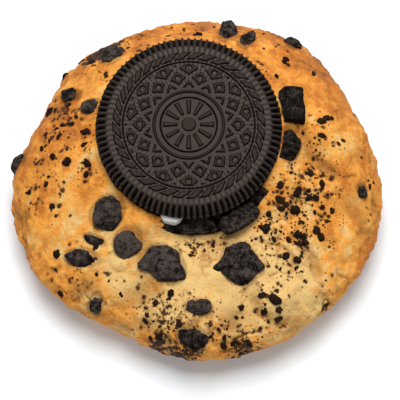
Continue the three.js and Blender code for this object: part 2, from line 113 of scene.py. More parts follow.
# Broken pieces: node, middle, long, wide and tall, turn in degrees, how far they stand proud.
CHUNKS = [
    ("chunk_left_front", mm(-22, -10.9), mm(9.4, 8.2, 5.2), 40, mm(2.5)),
    ("chunk_front_a", mm(-17.2, -17.9), mm(7.8, 7, 5), 55, mm(2.3)),
    ("chunk_front_b", mm(-8.1, -23.4), mm(11.8, 8.4, 6), -48, mm(2.6)),
    ("chunk_front_c", mm(9.6, -23.3), mm(11.2, 9.2, 6), -72, mm(2.8)),
    ("chunk_right_a", mm(22.1, 14), mm(9, 6.1, 6), 93, mm(2.8)),
    ("chunk_right_b", mm(21.5, 4.9), mm(8.2, 5.8, 5), 85, mm(2)),
    ("chunk_back_a", mm(7, 35), mm(7.8, 5.2, 5), 85, mm(2)),
    ("chunk_back_b", mm(11.5, 33), mm(7.2, 3.6, 4.6), 62, mm(1.7)),
    ("chunk_back_c", mm(23.3, 34.2), mm(4.8, 3.6, 4), -20, mm(1.6)),
    ("chunk_back_left", mm(-21.3, 28.9), mm(7, 5.4, 4.4), 40, mm(1.8)),
    ("chunk_left_a", mm(-31.4, 19.2), mm(5.8, 4, 3.8), -20, mm(1.6)),
    ("chunk_left_b", mm(-26, 14.1), mm(5.2, 4.4, 3.8), -10, mm(1.5)),
    ("chunk_left_rim", mm(-44.7, 4.4), mm(5.6, 3.6, 4.4), 82, mm(2.3)),
    ("chunk_low_a", mm(-28, -21.2), mm(8.6, 4.6, 4.2), -10, mm(1.9)),
    ("chunk_low_b", mm(-25.1, -17.2), mm(5.6, 2.9, 3.4), -24, mm(1.3)),
    ("chunk_bottom_a", mm(-24.6, -31.5), mm(5.2, 3.4, 4), 80, mm(1.6)),
    ("chunk_bottom_b", mm(-1.8, -39.9), mm(8, 5.2, 5), -22, mm(1.9)),
    ("chunk_bottom_c", mm(-0.4, -33.5), mm(6.8, 3.8, 4), -4, mm(1.7)),
    ("chunk_right_rim", mm(39.2, -4.1), mm(4.2, 2.8, 3.6), 100, mm(1.3)),
]
BESIDE_BISCUIT = ("chunk_right_a", "chunk_right_b", "chunk_left_b", "chunk_left_front")  # a gap short of it
BOXY = ("chunk_right_a",)        # chamfered blocks
GAP = mm(0.3)                    # from the biscuit to what lies beside it
# The shard of a wafer's rim: middle, turn and tip in degrees, span of arc, width and thickness.
SHARD = {"at": mm(9.6, -12.7, 21), "turn": 33, "tip": 7, "span": 29, "wide": mm(4.8), "thick": mm(3.2)}

# Crumbs that the dough's solid carries: middle and reach of an area, and how many are tried in it.
STREWN = [
    (mm(25, -6), mm(6, 10), 11), (mm(31, 10), mm(3, 3.5), 6), (mm(-34, 12), mm(5, 12), 11),
    (mm(-30, 28), mm(6, 4), 5), (mm(-27, 2), mm(2.5, 8), 4), (mm(-29, -22), mm(6, 7), 5),
    (mm(-9, -35), mm(6, 5), 5), (mm(6, -41), mm(10, 2), 5), (mm(13, -29), mm(8, 6), 6),
]
STREWN_SIZE = mm(1.5, 4)
STREWN_SKEW = 1.8                # above 1 more of them are small
STREWN_WIDE = 0.5                # at least this share of the length
AREA_DRAWS = 1000                # from one area's random draws to the next one's
CRUMB_DRAWS = 10
CRUMB_CLEAR = mm(0.6)
CRUMB_TALL = 0.75                # a crumb's height, as a share of its width
BREAK_PLANES = 13
BREAK_SOFTNESS = 12
NEAREST_BREAK = 0.72
BREAK_SPREAD = 0.28
BOX_FACE = 0.78

# Specks, in this script alone: middle and reach of an area, and how many lie in it.
SPECK_AREAS = [
    (mm(24, -8), mm(8, 11), 150), (mm(19, -17), mm(9, 9), 90), (mm(30, -3), mm(5, 9), 30),
    (mm(-1.5, -19), mm(4.5, 2.2), 30), (mm(4.5, -17.5), mm(2.5, 1.2), 8),
    (mm(12, -30), mm(7, 6), 28), (mm(22, -32), mm(7, 6), 14),
    (mm(-33, 12), mm(5, 9), 75), (mm(-36, -2), mm(6, 10), 45), (mm(-26, 2), mm(4, 9), 26),
    (mm(-28, -23), mm(8, 8), 34), (mm(-6, -36), mm(9, 6), 105), (mm(8, -39.5), mm(9, 4), 55),
    (mm(-18, -30), mm(8, 6), 22), (mm(30, 8), mm(6, 6), 18), (mm(20, 28), mm(10, 7), 14),
    (mm(-20, 27), mm(9, 7), 26), (mm(0, 37), mm(16, 4), 12), (mm(0, 0), mm(44, 42), 170),
]
SPECK_SIZE = mm(0.35, 1.25)
CHIP_SIZE = mm(0.8, 2.4)         # small crumbs lie in the same areas
CHIP_SHARE = 0.18                # how many of them there are for each speck
SPECKS_TOGETHER = 3              # specks round one middle
TOGETHER_REACH = mm(0.75)        # how far from it they spread
TOGETHER_SHARE = 0.72            # how many lie round a shared middle, the others alone
AREA_SKEW = 0.6                  # above 0.5 more of them lie near the area's middle
SPECK_SKEW = 2.2                 # above 1 more of them are small
SPECK_EDGE = 0.985               # the share of the outline's radius beyond which none lies
SPECK_CLEAR = mm(0.1)
# A speck's length, width and height, least and most, as shares of its size.
SPECK_SIDES = ((0.9, 0.55, 0.3), (1.2, 0.95, 0.45))


# ---- small numpy tools -------------------------------------------------------------------------

FAR = 1.0                        # a metre, further than anything here


def chance(n):
    """A number from 0 to 1 that looks random: the fraction of a large multiple of a sine."""
    wave = np.sin(np.asarray(n, float) * 127.1 + 311.7) * 43758.5453
    return wave - np.floor(wave)


def smooth(low, high, value):
    """0 below low, 1 above high, and the curve 3t2 - 2t3 between them."""
    t = np.clip((value - low) / (high - low), 0, 1)
    return t * t * (3 - 2 * t)


def cos_sin(degrees):
    return math.cos(math.radians(degrees)), math.sin(math.radians(degrees))


def round_angles(count):
    """That many directions round a circle, in radians."""
    return np.arange(count) / count * 2 * math.pi


def round_rings(radius, angle, level):
    """Rings round the Z axis, rows x columns x 3."""
    return np.stack(np.broadcast_arrays(radius * np.cos(angle), radius * np.sin(angle), level), -1)


def along_across(x, y, at, turn):
    """How far places lie along and across a line through a point, turned by some degrees."""
    c, s = cos_sin(turn)
    return (x - at[0]) * c + (y - at[1]) * s, (y - at[1]) * c - (x - at[0]) * s


def bells(x, y, rows):
    """The sum of bell-shaped swells, each with its middle, reach, turn and height."""
    total = np.zeros_like(x)
    for at, reach, turn, tall in rows:
        along, across = along_across(x, y, at, turn)
        total += tall * np.exp(-((along / reach[0]) ** 2 + (across / reach[1]) ** 2))
    return total


SHUFFLE = np.random.default_rng(5).permutation(256)
SLOPES = np.random.default_rng(6).normal(size=(256, 3))
SLOPES /= np.linalg.norm(SLOPES, axis=1)[:, None]
SEED_SHIFT = 17.3                # how many cubes apart the noises of two seeds lie
NOISE_GAIN = 1.6


def noise(points, size, seed=0):
    """Smooth noise of about -1 to 1 with bumps of the given size.

    Space is cut into cubes of that size. Each corner has a random slope, and the heights of the
    eight slopes at a point are blended by the curve 6t5 - 15t4 + 10t3.
    """
    scaled = points / size + seed * SEED_SHIFT
    cell = np.floor(scaled).astype(int)
    part = scaled - cell
    curve = part ** 3 * (part * (6 * part - 15) + 10)
    total = np.zeros(points.shape[:-1])
    for corner in np.ndindex(2, 2, 2):
        at = (cell + corner) & 255
        pick = SHUFFLE[(SHUFFLE[(SHUFFLE[at[..., 0]] + at[..., 1]) & 255] + at[..., 2]) & 255]
        height = ((part - corner) * SLOPES[pick]).sum(-1)
        total += height * np.where(corner, curve, 1 - curve).prod(-1)
    return total * NOISE_GAIN


def roughness(points, layers, seed=0):
    """The sum of several noises, each with its height, the size of its bumps and its own seed."""
    return sum(tall * noise(points, size, seed + own) for tall, size, own in layers)


def ring_quads(rows, columns):
    """Quads of a grid whose columns run round anticlockwise and whose rows run outwards or down."""
    start = np.arange(rows - 1)[:, None] * columns
    here, beside = np.arange(columns), (np.arange(columns) + 1) % columns
    return np.stack([start + here, start + columns + here, start + columns + beside, start + beside],
                    -1).reshape(-1, 4)


def capped_rings(rings):
    """Points, quads and triangles of a closed form from its rings, first to last row.

    rings is rows x columns x 3. The first and last ring are each closed to their mean point.
    """
    rows, columns = rings.shape[:2]
    points = np.concatenate([rings.reshape(-1, 3), rings[:1].mean(1), rings[-1:].mean(1)])
    here, beside = np.arange(columns), (np.arange(columns) + 1) % columns
    top, low = rows * columns, (rows - 1) * columns
    fans = np.concatenate([
        np.stack([np.full(columns, top), here, beside], -1),
        np.stack([np.full(columns, top + 1), low + beside, low + here], -1),
    ])
    return points, ring_quads(rows, columns), fans


def with_ends(field):
    """A ring field's values, followed by its first and last rings' means, as capped_rings has them."""
    return np.concatenate([field.ravel(), [field[0].mean(), field[-1].mean()]])


def cube_ball(steps):
    """Directions over a ball, and their quads: a cube's six gridded faces pushed out to a ball.

    Each face's lines are spaced by the tangent, which makes the cells nearly even, and the points
    that two faces share are merged.
    """
    line = np.tan(np.linspace(-math.pi / 4, math.pi / 4, steps + 1))
    u, v = (side.ravel() for side in np.meshgrid(line, line, indexing="ij"))
    one = np.ones_like(u)
    corner = np.arange(steps)[:, None] * (steps + 1) + np.arange(steps)
    cell = np.stack([corner, corner + steps + 1, corner + steps + 2, corner + 1], -1).reshape(-1, 4)
    points, quads = [], []
    for axis in range(3):
        for side in (1, -1):
            face = np.roll(np.stack([one * side, u, v * side], -1), axis, axis=1)
            quads.append(cell + len(points) * len(u))
            points.append(face)
    points = np.concatenate(points)
    points /= np.linalg.norm(points, axis=1)[:, None]
    kept, where = np.unique(points.round(6), axis=0, return_inverse=True)
    return kept / np.linalg.norm(kept, axis=1)[:, None], where.ravel()[np.concatenate(quads)]


def turned(points, degrees):
    """Points turned about the Z axis."""
    c, s = cos_sin(degrees)
    x, y, z = np.moveaxis(points, -1, 0)
    return np.stack([x * c - y * s, x * s + y * c, z], -1)


def tipped(points, degrees):
    """Points turned about the X axis: +Y goes up."""
    c, s = cos_sin(degrees)
    x, y, z = np.moveaxis(points, -1, 0)
    return np.stack([x, y * c - z * s, y * s + z * c], -1)


def put_mesh(name, points, quads, triangles=None, fields=None, finish=None):
    """A smooth-shaded object at the origin from arrays, with number fields on its points."""
    triangles = np.empty((0, 3), int) if triangles is None else triangles
    mesh = bpy.data.meshes.new(name)
    mesh.vertices.add(len(points))
    mesh.vertices.foreach_set("co", np.ascontiguousarray(points, np.float32).ravel())
    loops = np.concatenate([quads.ravel(), triangles.ravel()]).astype(np.int32)
    starts = np.concatenate([np.arange(len(quads)) * 4, len(quads) * 4 + np.arange(len(triangles)) * 3])
    mesh.loops.add(len(loops))
    mesh.loops.foreach_set("vertex_index", loops)
    mesh.polygons.add(len(starts))
    mesh.polygons.foreach_set("loop_start", starts.astype(np.int32))
    mesh.update(calc_edges=True)
    mesh.shade_smooth()
    for field, values in (fields or {}).items():
        mesh.attributes.new(field, "FLOAT", "POINT").data.foreach_set("value", values.astype(np.float32))
    mesh.materials.append(finish)
    piece = bpy.data.objects.new(name, mesh)
    bpy.context.scene.collection.objects.link(piece)
    return piece


def fit_to_frame(piece, slot, *nodes):
    """The piece rides on the body and stands for its nodes, which are hidden. The slot is not used."""
    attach(piece, BODY)
    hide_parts(*nodes)


def make_ringed(name, rings, slot, node, finish, fields):
    """A piece closed over its rings, with fields given for each ring's points or as one number."""
    points, quads, fans = capped_rings(rings)
    fields = {field: with_ends(np.broadcast_to(values, rings.shape[:2])) for field, values in fields.items()}
    fit_to_frame(put_mesh(name, points, quads, fans, fields, finish), slot, node)


# ---- the dough's form --------------------------------------------------------------------------

class DoughForm:
    """The dough's shape as functions of place, from the sizes in the settings."""

    def __init__(self, scene):
        self.dough, self.biscuit = scene.cookie_dough, scene.cookie_biscuit

    def outline(self, angle):
        """The outline's radius at an angle: a circle plus slow cosine swells."""
        return self.dough.radius + sum(
            tall * np.cos(count * (angle - math.radians(at))) for count, tall, at in OUTLINE_SWELLS)

    def relief(self, x, y):
        """Bell-shaped swells, bell-shaped furrows along the creases, and sine ripples."""
        height = bells(x, y, SWELLS)
        for points, wide, deep in CREASES:
            height -= deep * np.exp(-(distance_to_line(x, y, points) / wide) ** 2)
        for length, towards, tall in RIPPLES:
            along, _ = along_across(x, y, (0, 0), towards)
            height += tall * np.sin(2 * math.pi * along / length + towards)
        return height

    def collar(self, x, y):
        """The ridge of dough round the biscuit, highest behind it and gone in front of it."""
        dx, dy = x - self.biscuit.place[0], y - self.biscuit.place[1]
        out = np.hypot(dx, dy)
        behind = (1 + dy / np.maximum(out, mm(1))) / 2
        return COLLAR_TALL * behind * np.exp(-((out - self.biscuit.radius) / COLLAR_WIDE) ** 2)

    def share(self, x, y):
        """How far out a place is, as a share of the outline's radius there."""
        return np.hypot(x, y) / self.outline(np.arctan2(y, x))

    def top(self, x, y):
        """The height of the dome over a place, with its relief fading out towards the rim."""
        share = np.minimum(self.share(x, y), 1)
        rise = smooth(RISE[0], RISE[1], y)
        crown = self.dough.crown_front + (self.dough.crown_back - self.dough.crown_front) * rise
        dome = self.dough.rim_height + (crown - self.dough.rim_height) * np.sqrt(1 - share ** DOME_POWER)
        fade = np.minimum((1 - share) / RELIEF_FADE, 1)
        return dome + (self.relief(x, y) + self.collar(x, y)) * fade

    def normal(self, x, y):
        """The upward direction of the dome, from its slopes a tenth of a millimetre either way."""
        step = mm(0.1)
        slope_x = (self.top(x + step, y) - self.top(x - step, y)) / (2 * step)
        slope_y = (self.top(x, y + step) - self.top(x, y - step)) / (2 * step)
        facing = np.stack([-slope_x, -slope_y, np.ones_like(slope_x)], -1)
        return facing / np.linalg.norm(facing, axis=-1, keepdims=True)

    def in_biscuit(self, points):
        """Points of the cookie's frame in the biscuit's own frame."""
        return tipped(points - np.array(self.biscuit.place), -math.degrees(self.biscuit.tip))

    def from_biscuit(self, points):
        """Points of the biscuit's own frame in the cookie's frame."""
        return tipped(points, math.degrees(self.biscuit.tip)) + np.array(self.biscuit.place)

    def biscuit_level(self, x, y, level):
        """The height over a place of the biscuit's plane that lies at a level of its own frame."""
        tip = self.biscuit.tip
        back = (y - self.biscuit.place[1] + level * math.sin(tip)) / math.cos(tip)
        return self.biscuit.place[2] + back * math.sin(tip) + level * math.cos(tip)


def distance_to_line(x, y, points):
    """The distance from each place to the nearest stretch of a line through several points."""
    nearest = np.full(np.shape(x), FAR)
    for (ax, ay), (bx, by) in zip(points, points[1:]):
        length = (bx - ax) ** 2 + (by - ay) ** 2
        share = np.clip(((x - ax) * (bx - ax) + (y - ay) * (by - ay)) / length, 0, 1)
        nearest = np.minimum(nearest, np.hypot(x - ax - share * (bx - ax), y - ay - share * (by - ay)))
    return nearest


# Heights, sizes and seeds of the lumps in the baked surface.
DOUGH_LUMPS = [
    (mm(0.26), mm(5.5), 1), (mm(0.15), mm(2.6), 2), (mm(0.085), mm(1.2), 3), (mm(0.045), mm(0.6), 4),
]
SEAM_DEEP = mm(0.5)
PIT_DEEP = mm(0.35)


def lumps(points):
    """The baked surface's own unevenness: lumps of four sizes, torn seams and small pits."""
    height = roughness(points, DOUGH_LUMPS)
    torn = np.abs(noise(points, mm(7), 11) + 0.25 * noise(points, mm(2), 12))
    patch = smooth(0.0, 0.5, noise(points, mm(12), 13))
    height -= SEAM_DEEP * patch * np.exp(-(torn / 0.07) ** 2)
    pits = smooth(0.42, 0.75, noise(points, mm(2.2), 14))
    return height - PIT_DEEP * pits * smooth(-0.1, 0.4, noise(points, mm(9), 15))


# ---- broken pieces -----------------------------------------------------------------------------

def broken_ball(directions, seeds, softness=BREAK_SOFTNESS, boxy=False):
    """Balls drawn in to BREAK_PLANES softened planes each: seeds x directions x 3, in boxes of size one.

    The planes face along a golden-angle spiral and lie nearer or further by chance. The reach in a
    direction is the power mean of its reaches to all the planes. A boxy ball has six sides nearer
    than all of them.
    """
    i = np.arange(BREAK_PLANES)
    z = 1 - (2 * i + 1) / BREAK_PLANES
    seeds = np.asarray(seeds, float)[:, None]
    angle = i * math.pi * (3 - math.sqrt(5)) + 2 * math.pi * chance(seeds)
    flat = np.sqrt(1 - z * z)
    facing = np.stack([np.cos(angle) * flat, np.sin(angle) * flat, np.broadcast_to(z, angle.shape)], -1)
    distance = (1 if boxy else NEAREST_BREAK) + BREAK_SPREAD * chance(seeds * 31 + i)
    pull = np.maximum(np.einsum("vk,spk->svp", directions, facing) / distance[:, None], 0)
    total = (pull ** softness).sum(-1)
    if boxy:
        total += (np.abs(directions / BOX_FACE) ** softness).sum(-1)
    reach = total ** (-1 / softness)
    points = directions * reach[..., None]
    low, high = points.min(1, keepdims=True), points.max(1, keepdims=True)
    return (points - (low + high) / 2) / (high - low)


def crumb_list(form):
    """Middles, sizes and turns of the crumbs in the dough's solid.

    A crumb is tried at a place by chance inside its area, and is left out where it would
    come too near to something else.
    """
    biscuit, crumbs = form.biscuit, []
    lower = (biscuit.place[0] + LOWER_SHIFT[0], biscuit.place[1] + LOWER_SHIFT[1])
    shard_half = biscuit.radius * math.sin(math.radians(SHARD["span"] / 2))
    blocks = [(biscuit.place, biscuit.radius), (lower, biscuit.radius), (SHARD["at"], shard_half)]
    blocks += [(at, math.hypot(size[0], size[1]) / 2) for _, at, size, _, _ in CHUNKS]

    def is_clear(at, radius):
        taken = blocks + [(other, size[0] / 2) for other, size, _ in crumbs]
        return form.share(*at) < 1 and all(
            math.hypot(at[0] - other[0], at[1] - other[1]) > reach + radius + CRUMB_CLEAR
            for other, reach in taken)

    for area, (at, reach, count) in enumerate(STREWN):
        for i in range(count):
            draw = chance(AREA_DRAWS * (area + 1) + CRUMB_DRAWS * i + np.arange(5))
            out, angle = math.sqrt(draw[0]), 2 * math.pi * draw[1]
            place = (at[0] + reach[0] * out * math.cos(angle), at[1] + reach[1] * out * math.sin(angle))
            long = STREWN_SIZE[0] + (STREWN_SIZE[1] - STREWN_SIZE[0]) * draw[2] ** STREWN_SKEW
            if is_clear(place, long / 2):
                wide = long * (STREWN_WIDE + (1 - STREWN_WIDE) * draw[3])
                crumbs.append((place, (long, wide), 180 * draw[4]))
    return crumbs


def footprint_gap(x, y, at, size, turn):
    """About how far a place is outside an oval footprint, below nought inside it."""
    along, across = along_across(x, y, at, turn)
    return (np.hypot(along / (size[0] / 2), across / (size[1] / 2)) - 1) * min(size[0], size[1]) / 2


def speck_places(form, seed, share, sizes):
    """Middles and lengths of specks, drawn area by area, most of them in little clusters.

    A cluster's middle is drawn inside the area's oval, and its specks are spread round it by a
    normal draw. Those that fall on the biscuit, on a broken piece or over the edge are dropped.
    """
    draw = np.random.default_rng(seed)
    places = []
    for at, reach, full_count in SPECK_AREAS:
        count = round(full_count * share)
        out, angle = draw.random(count) ** AREA_SKEW, draw.random(count) * 2 * math.pi
        middle = np.array(at) + np.stack([np.cos(angle), np.sin(angle)], -1) * out[:, None] * reach
        cluster = np.arange(count) // SPECKS_TOGETHER * SPECKS_TOGETHER
        near = middle[cluster] + draw.normal(size=(count, 2)) * TOGETHER_REACH
        places.append(np.where(draw.random(count)[:, None] < TOGETHER_SHARE, near, middle))
    places = np.concatenate(places)
    long = sizes[0] + (sizes[1] - sizes[0]) * draw.random(len(places)) ** SPECK_SKEW
    x, y = places.T
    lower = np.hypot(x - form.biscuit.place[0] - LOWER_SHIFT[0], y - form.biscuit.place[1] - LOWER_SHIFT[1])
    upper = np.hypot(x - form.biscuit.place[0], y - form.biscuit.place[1])
    beside = np.minimum(lower, upper) > form.biscuit.radius + GAP + long / 2
    clear = beside & (form.share(x, y) < SPECK_EDGE)
    for _, at, size, turn, _ in CHUNKS:
        clear &= footprint_gap(x, y, at, size, turn) > SPECK_CLEAR
    return places[clear], long[clear]


# ---- shader maths ------------------------------------------------------------------------------

class Wire:
    """A number socket of a material. Each operator on it adds the Math node that works it out."""

    def __init__(self, finish, socket):
        self.finish, self.socket = finish, socket

    def maths(self, operation, *values):
        return self.finish.node("Math", {"operation": operation}, dict(enumerate(values)))

    def __add__(self, other):
        return self.maths("ADD", self, other)

    def __radd__(self, other):
        return self.maths("ADD", other, self)

    def __sub__(self, other):
        return self.maths("SUBTRACT", self, other)

    def __rsub__(self, other):
        return self.maths("SUBTRACT", other, self)

    def __mul__(self, other):
        return self.maths("MULTIPLY", self, other)

    def step(self, low, high):
        """0 below low, 1 above high and smooth between them."""
        return self.finish.node(
            "MapRange", {"interpolation_type": "SMOOTHSTEP"}, {0: self, 1: low, 2: high, 3: 0, 4: 1})


class Finish:
    """A material in the making: its node tree and its Principled shader."""

    def __init__(self, name, constants):
        self.material = bpy.data.materials.new(name)
        self.material.use_nodes = True
        self.tree = self.material.node_tree
        self.shader = self.tree.nodes["Principled BSDF"]
        self.place = self.node("TexCoord", out="Object")
        for socket, value in constants.items():
            self.shader.inputs[socket].default_value = value

    def node(self, kind, settings=None, sockets=None, out=0):
        """Adds a node: its settings first, then its sockets' values or links."""
        node = self.tree.nodes.new("ShaderNode" + kind)
        for setting, value in (settings or {}).items():
            setattr(node, setting, value)
        for socket, value in (sockets or {}).items():
            self.fill(node.inputs[socket], value)
        return Wire(self, node.outputs[out])

    def fill(self, socket, value):
        if isinstance(value, Wire):
            self.tree.links.new(value.socket, socket)
        elif socket.type == "RGBA" and len(value) == 3:
            socket.default_value = (*value, 1)
        else:
            socket.default_value = value

    def field(self, name):
        """A number that the mesh carries on its points."""
        return self.node("Attribute", {"attribute_name": name}, out="Fac")

    def noise(self, size, detail=2, rough=0.5):
        """Noise from 0 to 1, about 0.5, with bumps of a size in metres."""
        return self.node("TexNoise", sockets={
            "Vector": self.place, "Scale": 1 / size, "Detail": detail, "Roughness": rough})

    def wavy(self, size, shift):
        """The place, moved about by up to half of shift in bends of a size."""
        bend = self.node("TexNoise", out="Color", sockets={
            "Vector": self.place, "Scale": 1 / size, "Detail": 1})
        return self.node("VectorMath", {"operation": "MULTIPLY_ADD"}, {
            0: bend, 1: (shift,) * 3, 2: self.place})

    def spots(self, size, place=None):
        """Spots round points strewn that far apart: how far off the nearest is, and its own number.

        The distance is a share of the size, and the number is from 0 to 1.
        """
        far = self.node("TexVoronoi", sockets={"Vector": place or self.place, "Scale": 1 / size})
        colour = Wire(self, far.socket.node.outputs["Color"])
        return far, self.node("SeparateColor", sockets={"Color": colour})

    def blend(self, share, first, second):
        """The first colour where the share is 0, the second where it is 1."""
        return self.node("Mix", {"data_type": "RGBA"}, {0: share, 6: first, 7: second}, out=2)

    def darker(self, share, colour, tint):
        """The colour, multiplied by the tint where the share is 1."""
        return self.node("Mix", {"data_type": "RGBA", "blend_type": "MULTIPLY"}, {
            0: share, 6: colour, 7: tint}, out=2)

    def surface(self, colour, roughness, height, tall):
        """Links colour and roughness, and a bump of a height in metres, to the shader."""
        self.fill(self.shader.inputs["Base Color"], colour)
        self.fill(self.shader.inputs["Roughness"], roughness)
        bump = self.node("Bump", sockets={"Strength": 1, "Distance": tall, "Height": height})
        self.fill(self.shader.inputs["Normal"], bump)
        return self.material


def paint(red, green, blue):
    """A colour given as it looks on a screen, 0 to 255, as the linear numbers that Blender keeps."""
    share = np.array([red, green, blue]) / 255
    linear = np.where(share <= 0.04045, share / 12.92, ((share + 0.055) / 1.055) ** 2.4)
    return tuple(float(value) for value in linear)


# ---- finishes ----------------------------------------------------------------------------------

def baked_finish(dough):
    """Pale crumb that browns with the bake field, darkened with painted shade in its hollows and freckled
    with cocoa.
    """
    f = Finish("baked dough", {"Specular IOR Level": 0.18})
    patches, mottle, grain = f.noise(mm(6), 3), f.noise(mm(1.8), 4, 0.6), f.noise(mm(0.4), 2)
    bake = f.field("bake") + (patches - 0.5) * 1.9 + (mottle - 0.5) * 1.3 + (grain - 0.5) * 0.6
    colour = f.blend(bake.step(0.0, 0.5), dough.pale, dough.gold)
    colour = f.blend(bake.step(0.45, 1.0), colour, dough.brown)
    # The most baked colour, which the foot reaches, is partly painted shade.
    colour = f.blend(bake.step(0.95, 1.6), colour, dough.burnt_and_shade)
    # Painted shade in the hollows, and in the torn seams where a noise is low.
    colour = f.blend(f.field("crevice_shade") * (0.4 + mottle * 0.8), colour, dough.crevice_shade)
    torn = f.noise(mm(3.2), 5, 0.62)
    colour = f.blend((0.44 - torn).step(0, 0.1) * 0.3, colour, dough.crevice_shade)
    blotch = f.noise(mm(1.2), 3, 0.6)
    # Dark patches on the rim: burnt, and along the front partly painted shade.
    burnt_and_shade = (f.field("burnt_and_shade") - 0.72 + (blotch - 0.5) * 2.6).step(0, 0.3)

    dusty = f.field("dust") * 0.9 + (f.noise(mm(3.5), 2) - 0.35) * 0.7
    far, pick = f.spots(mm(0.95), f.wavy(mm(0.6), mm(0.8)))
    colour = f.blend((pick * dusty * 0.8 - far).step(-0.14, 0.12) * 0.42, colour, dough.freckle)
    far, pick = f.spots(mm(0.9), f.wavy(mm(0.5), mm(0.6)))
    fleck = pick * pick * dusty * 0.62 - far
    colour = f.blend(fleck.step(-0.09, 0.04) * 0.8, colour, dough.freckle)
    colour = f.blend(fleck.step(0.0, 0.1) * 0.9, colour, dough.stain)
    stain = f.field("stain") * (0.6 + mottle * 0.8)
    colour = f.blend(stain.step(0.1, 1.0) * 0.92, colour, dough.stain)
    colour = f.blend(burnt_and_shade * f.field("burnt_and_shade").step(0.02, 0.2) * 0.95, colour, dough.char)
    rough = 0.62 + grain * 0.2
    height = grain * 0.4 + f.noise(mm(1.1), 3, 0.6) * 0.8 + torn * 1.2
    return f.surface(colour, rough, height, mm(0.3))


def pressed_finish(biscuit):
    """The pressed wafer: paler low ground, darker raised pads, and nearly black painted shade where a pad's
    side meets the ground.
    """
    f = Finish("pressed wafer", {"Specular IOR Level": 0.04})
    grain, mottle = f.noise(mm(0.32), 2), f.noise(mm(2.4), 3)
    colour = f.blend(f.field("pad"), biscuit.ground, biscuit.pad)
    # Painted shade round the pads' feet and in the edge's grooves.
    colour = f.blend(f.field("groove_shade"), colour, biscuit.crease_shade)
    shade = (grain - 0.5) * 0.9 + (mottle - 0.5) * 0.7
    colour = f.darker(shade.step(0.0, 0.6) * 0.5, colour, biscuit.crease_tint)
    height = grain + f.noise(mm(0.12), 1) * 0.4
    return f.surface(colour, 0.55 + grain * 0.25, height, mm(0.07))


def broken_finish(crumb):
    """Broken wafer: matt, pitted, with painted shade in the pits, and a little uneven in its darkness."""
    f = Finish("broken wafer", {"Specular IOR Level": 0.04})
    grain, mottle = f.noise(mm(0.4), 3, 0.65), f.noise(mm(1.5), 3)
    far, pick = f.spots(mm(1.3), f.wavy(mm(0.8), mm(0.8)))
    # Painted shade: the pits are darkened nearly to black.
    pits = (pick * 0.42 - far).step(0, 0.15)
    pale = f.field("tone") - 0.02 + (mottle - 0.5) * 2.1 + (grain - 0.5) * 1.8
    colour = f.blend(pale.step(0, 1), crumb.dark, crumb.light)
    colour = f.blend(pits * 0.8, colour, crumb.pit_shade)
    height = grain + f.noise(mm(1.1), 2) * 0.6 - pits * 0.5
    return f.surface(colour, 0.68 + grain * 0.22, height, mm(0.45))


def crumb_finish(crumb):
    """Crumbs and specks, from nearly black to brown by the shade that each one carries."""
    f = Finish("crumbs", {"Specular IOR Level": 0.05})
    grain = f.noise(mm(0.25), 2)
    colour = f.blend((f.field("shade") + (grain - 0.5) * 0.5).step(0, 1), crumb.speck_dark, crumb.speck_light)
    return f.surface(colour, 0.7 + grain * 0.2, grain, mm(0.1))


def cream_finish(biscuit):
    """Matt white cream with faint drag marks."""
    f = Finish("cream", {"Specular IOR Level": 0.4})
    drag, mottle = f.noise(mm(0.5), 2), f.noise(mm(3), 2)
    colour = f.blend((mottle + (drag - 0.5) * 0.5).step(0.3, 0.7), biscuit.cream, biscuit.cream_shade)
    return f.surface(colour, 0.5 + drag * 0.2, drag, mm(0.1))


def floor_finish(stage):
    """A plain pale floor that glows a little, so that shadows on it stay soft and grey."""
    return Finish("floor", {
        "Base Color": (*stage.floor, 1), "Roughness": 1, "Specular IOR Level": 0,
        "Emission Color": (1, 1, 1, 1), "Emission Strength": stage.floor_glow}).material


# ---- the dough ---------------------------------------------------------------------------------

SEAT_ROWS = (mm(0.5, 18, 24.8), (8, 28))     # radii round the biscuit's middle, and rows between them
DOME_ROWS, DOME_ROW_POWER = 70, 1.7          # above 1 the rows lie closer together towards the rim
SIDE_ROWS = 18
HALVINGS = 40                                # of the search for the outline
UNDER_SHARES = (0.93, 0.75, 0.45, 0.15)
SEAT_INSET = mm(0.3)                         # how far the dough's cut edge reaches into a wafer
SEAT_LEVELS = mm(-3.3, -9.2)                 # under the upper wafer, and inside the lower one
LAP_FREE = (262, 322)                        # directions between which no dough laps over the lower wafer
LAP_LEVEL = mm(-5.8)                         # dough higher than this laps over the lower wafer
RIM_SHARES = (0.85, 0.97)                    # the rim grows lumpier between these shares of its radius
RIM_LUMPIER = 1.2
RIM_LUMPS = [(mm(0.3), mm(1.7), 16)]
PRESS_TALL, PRESS_OUT, PRESS_WIDE = mm(0.22, 0.3, 1)      # the swell round a broken piece
LUMPY_FROM = mm(0.3, 3)                      # the lumps grow to their full height between these levels
TOP_FROM = mm(-1, 2)                         # the top begins between these levels, from the rim's
CHAR_FROM = mm(2)                            # level below which the dark patches, burnt and partly painted shade, fade out

# How dark the painted shade is in the hollows: along creases, in sunk swells and in the lumps' lowest parts.
FOLD_SHADE, SWELL_SHADE, LUMP_SHADE = 0.7, 0.8, 0.8
LOWEST_LUMP = mm(0.5)                        # where the surface is this far in, the painted shade is darkest
# How strong and how wide the stain is round specks, and round crumbs and broken pieces.
SPECK_STAIN, SPECK_STAIN_WIDE = 0.6, mm(0.2)
PIECE_STAIN, CRUMB_STAIN_WIDE, CHUNK_STAIN_WIDE = 0.5, mm(0.22), mm(0.35)
# Cocoa dust over a speck area: for each speck, shared out over the product of the area's two reaches
# in millimetres, and the most there is anywhere.
DUST, MOST_DUST = 0.6, 0.8

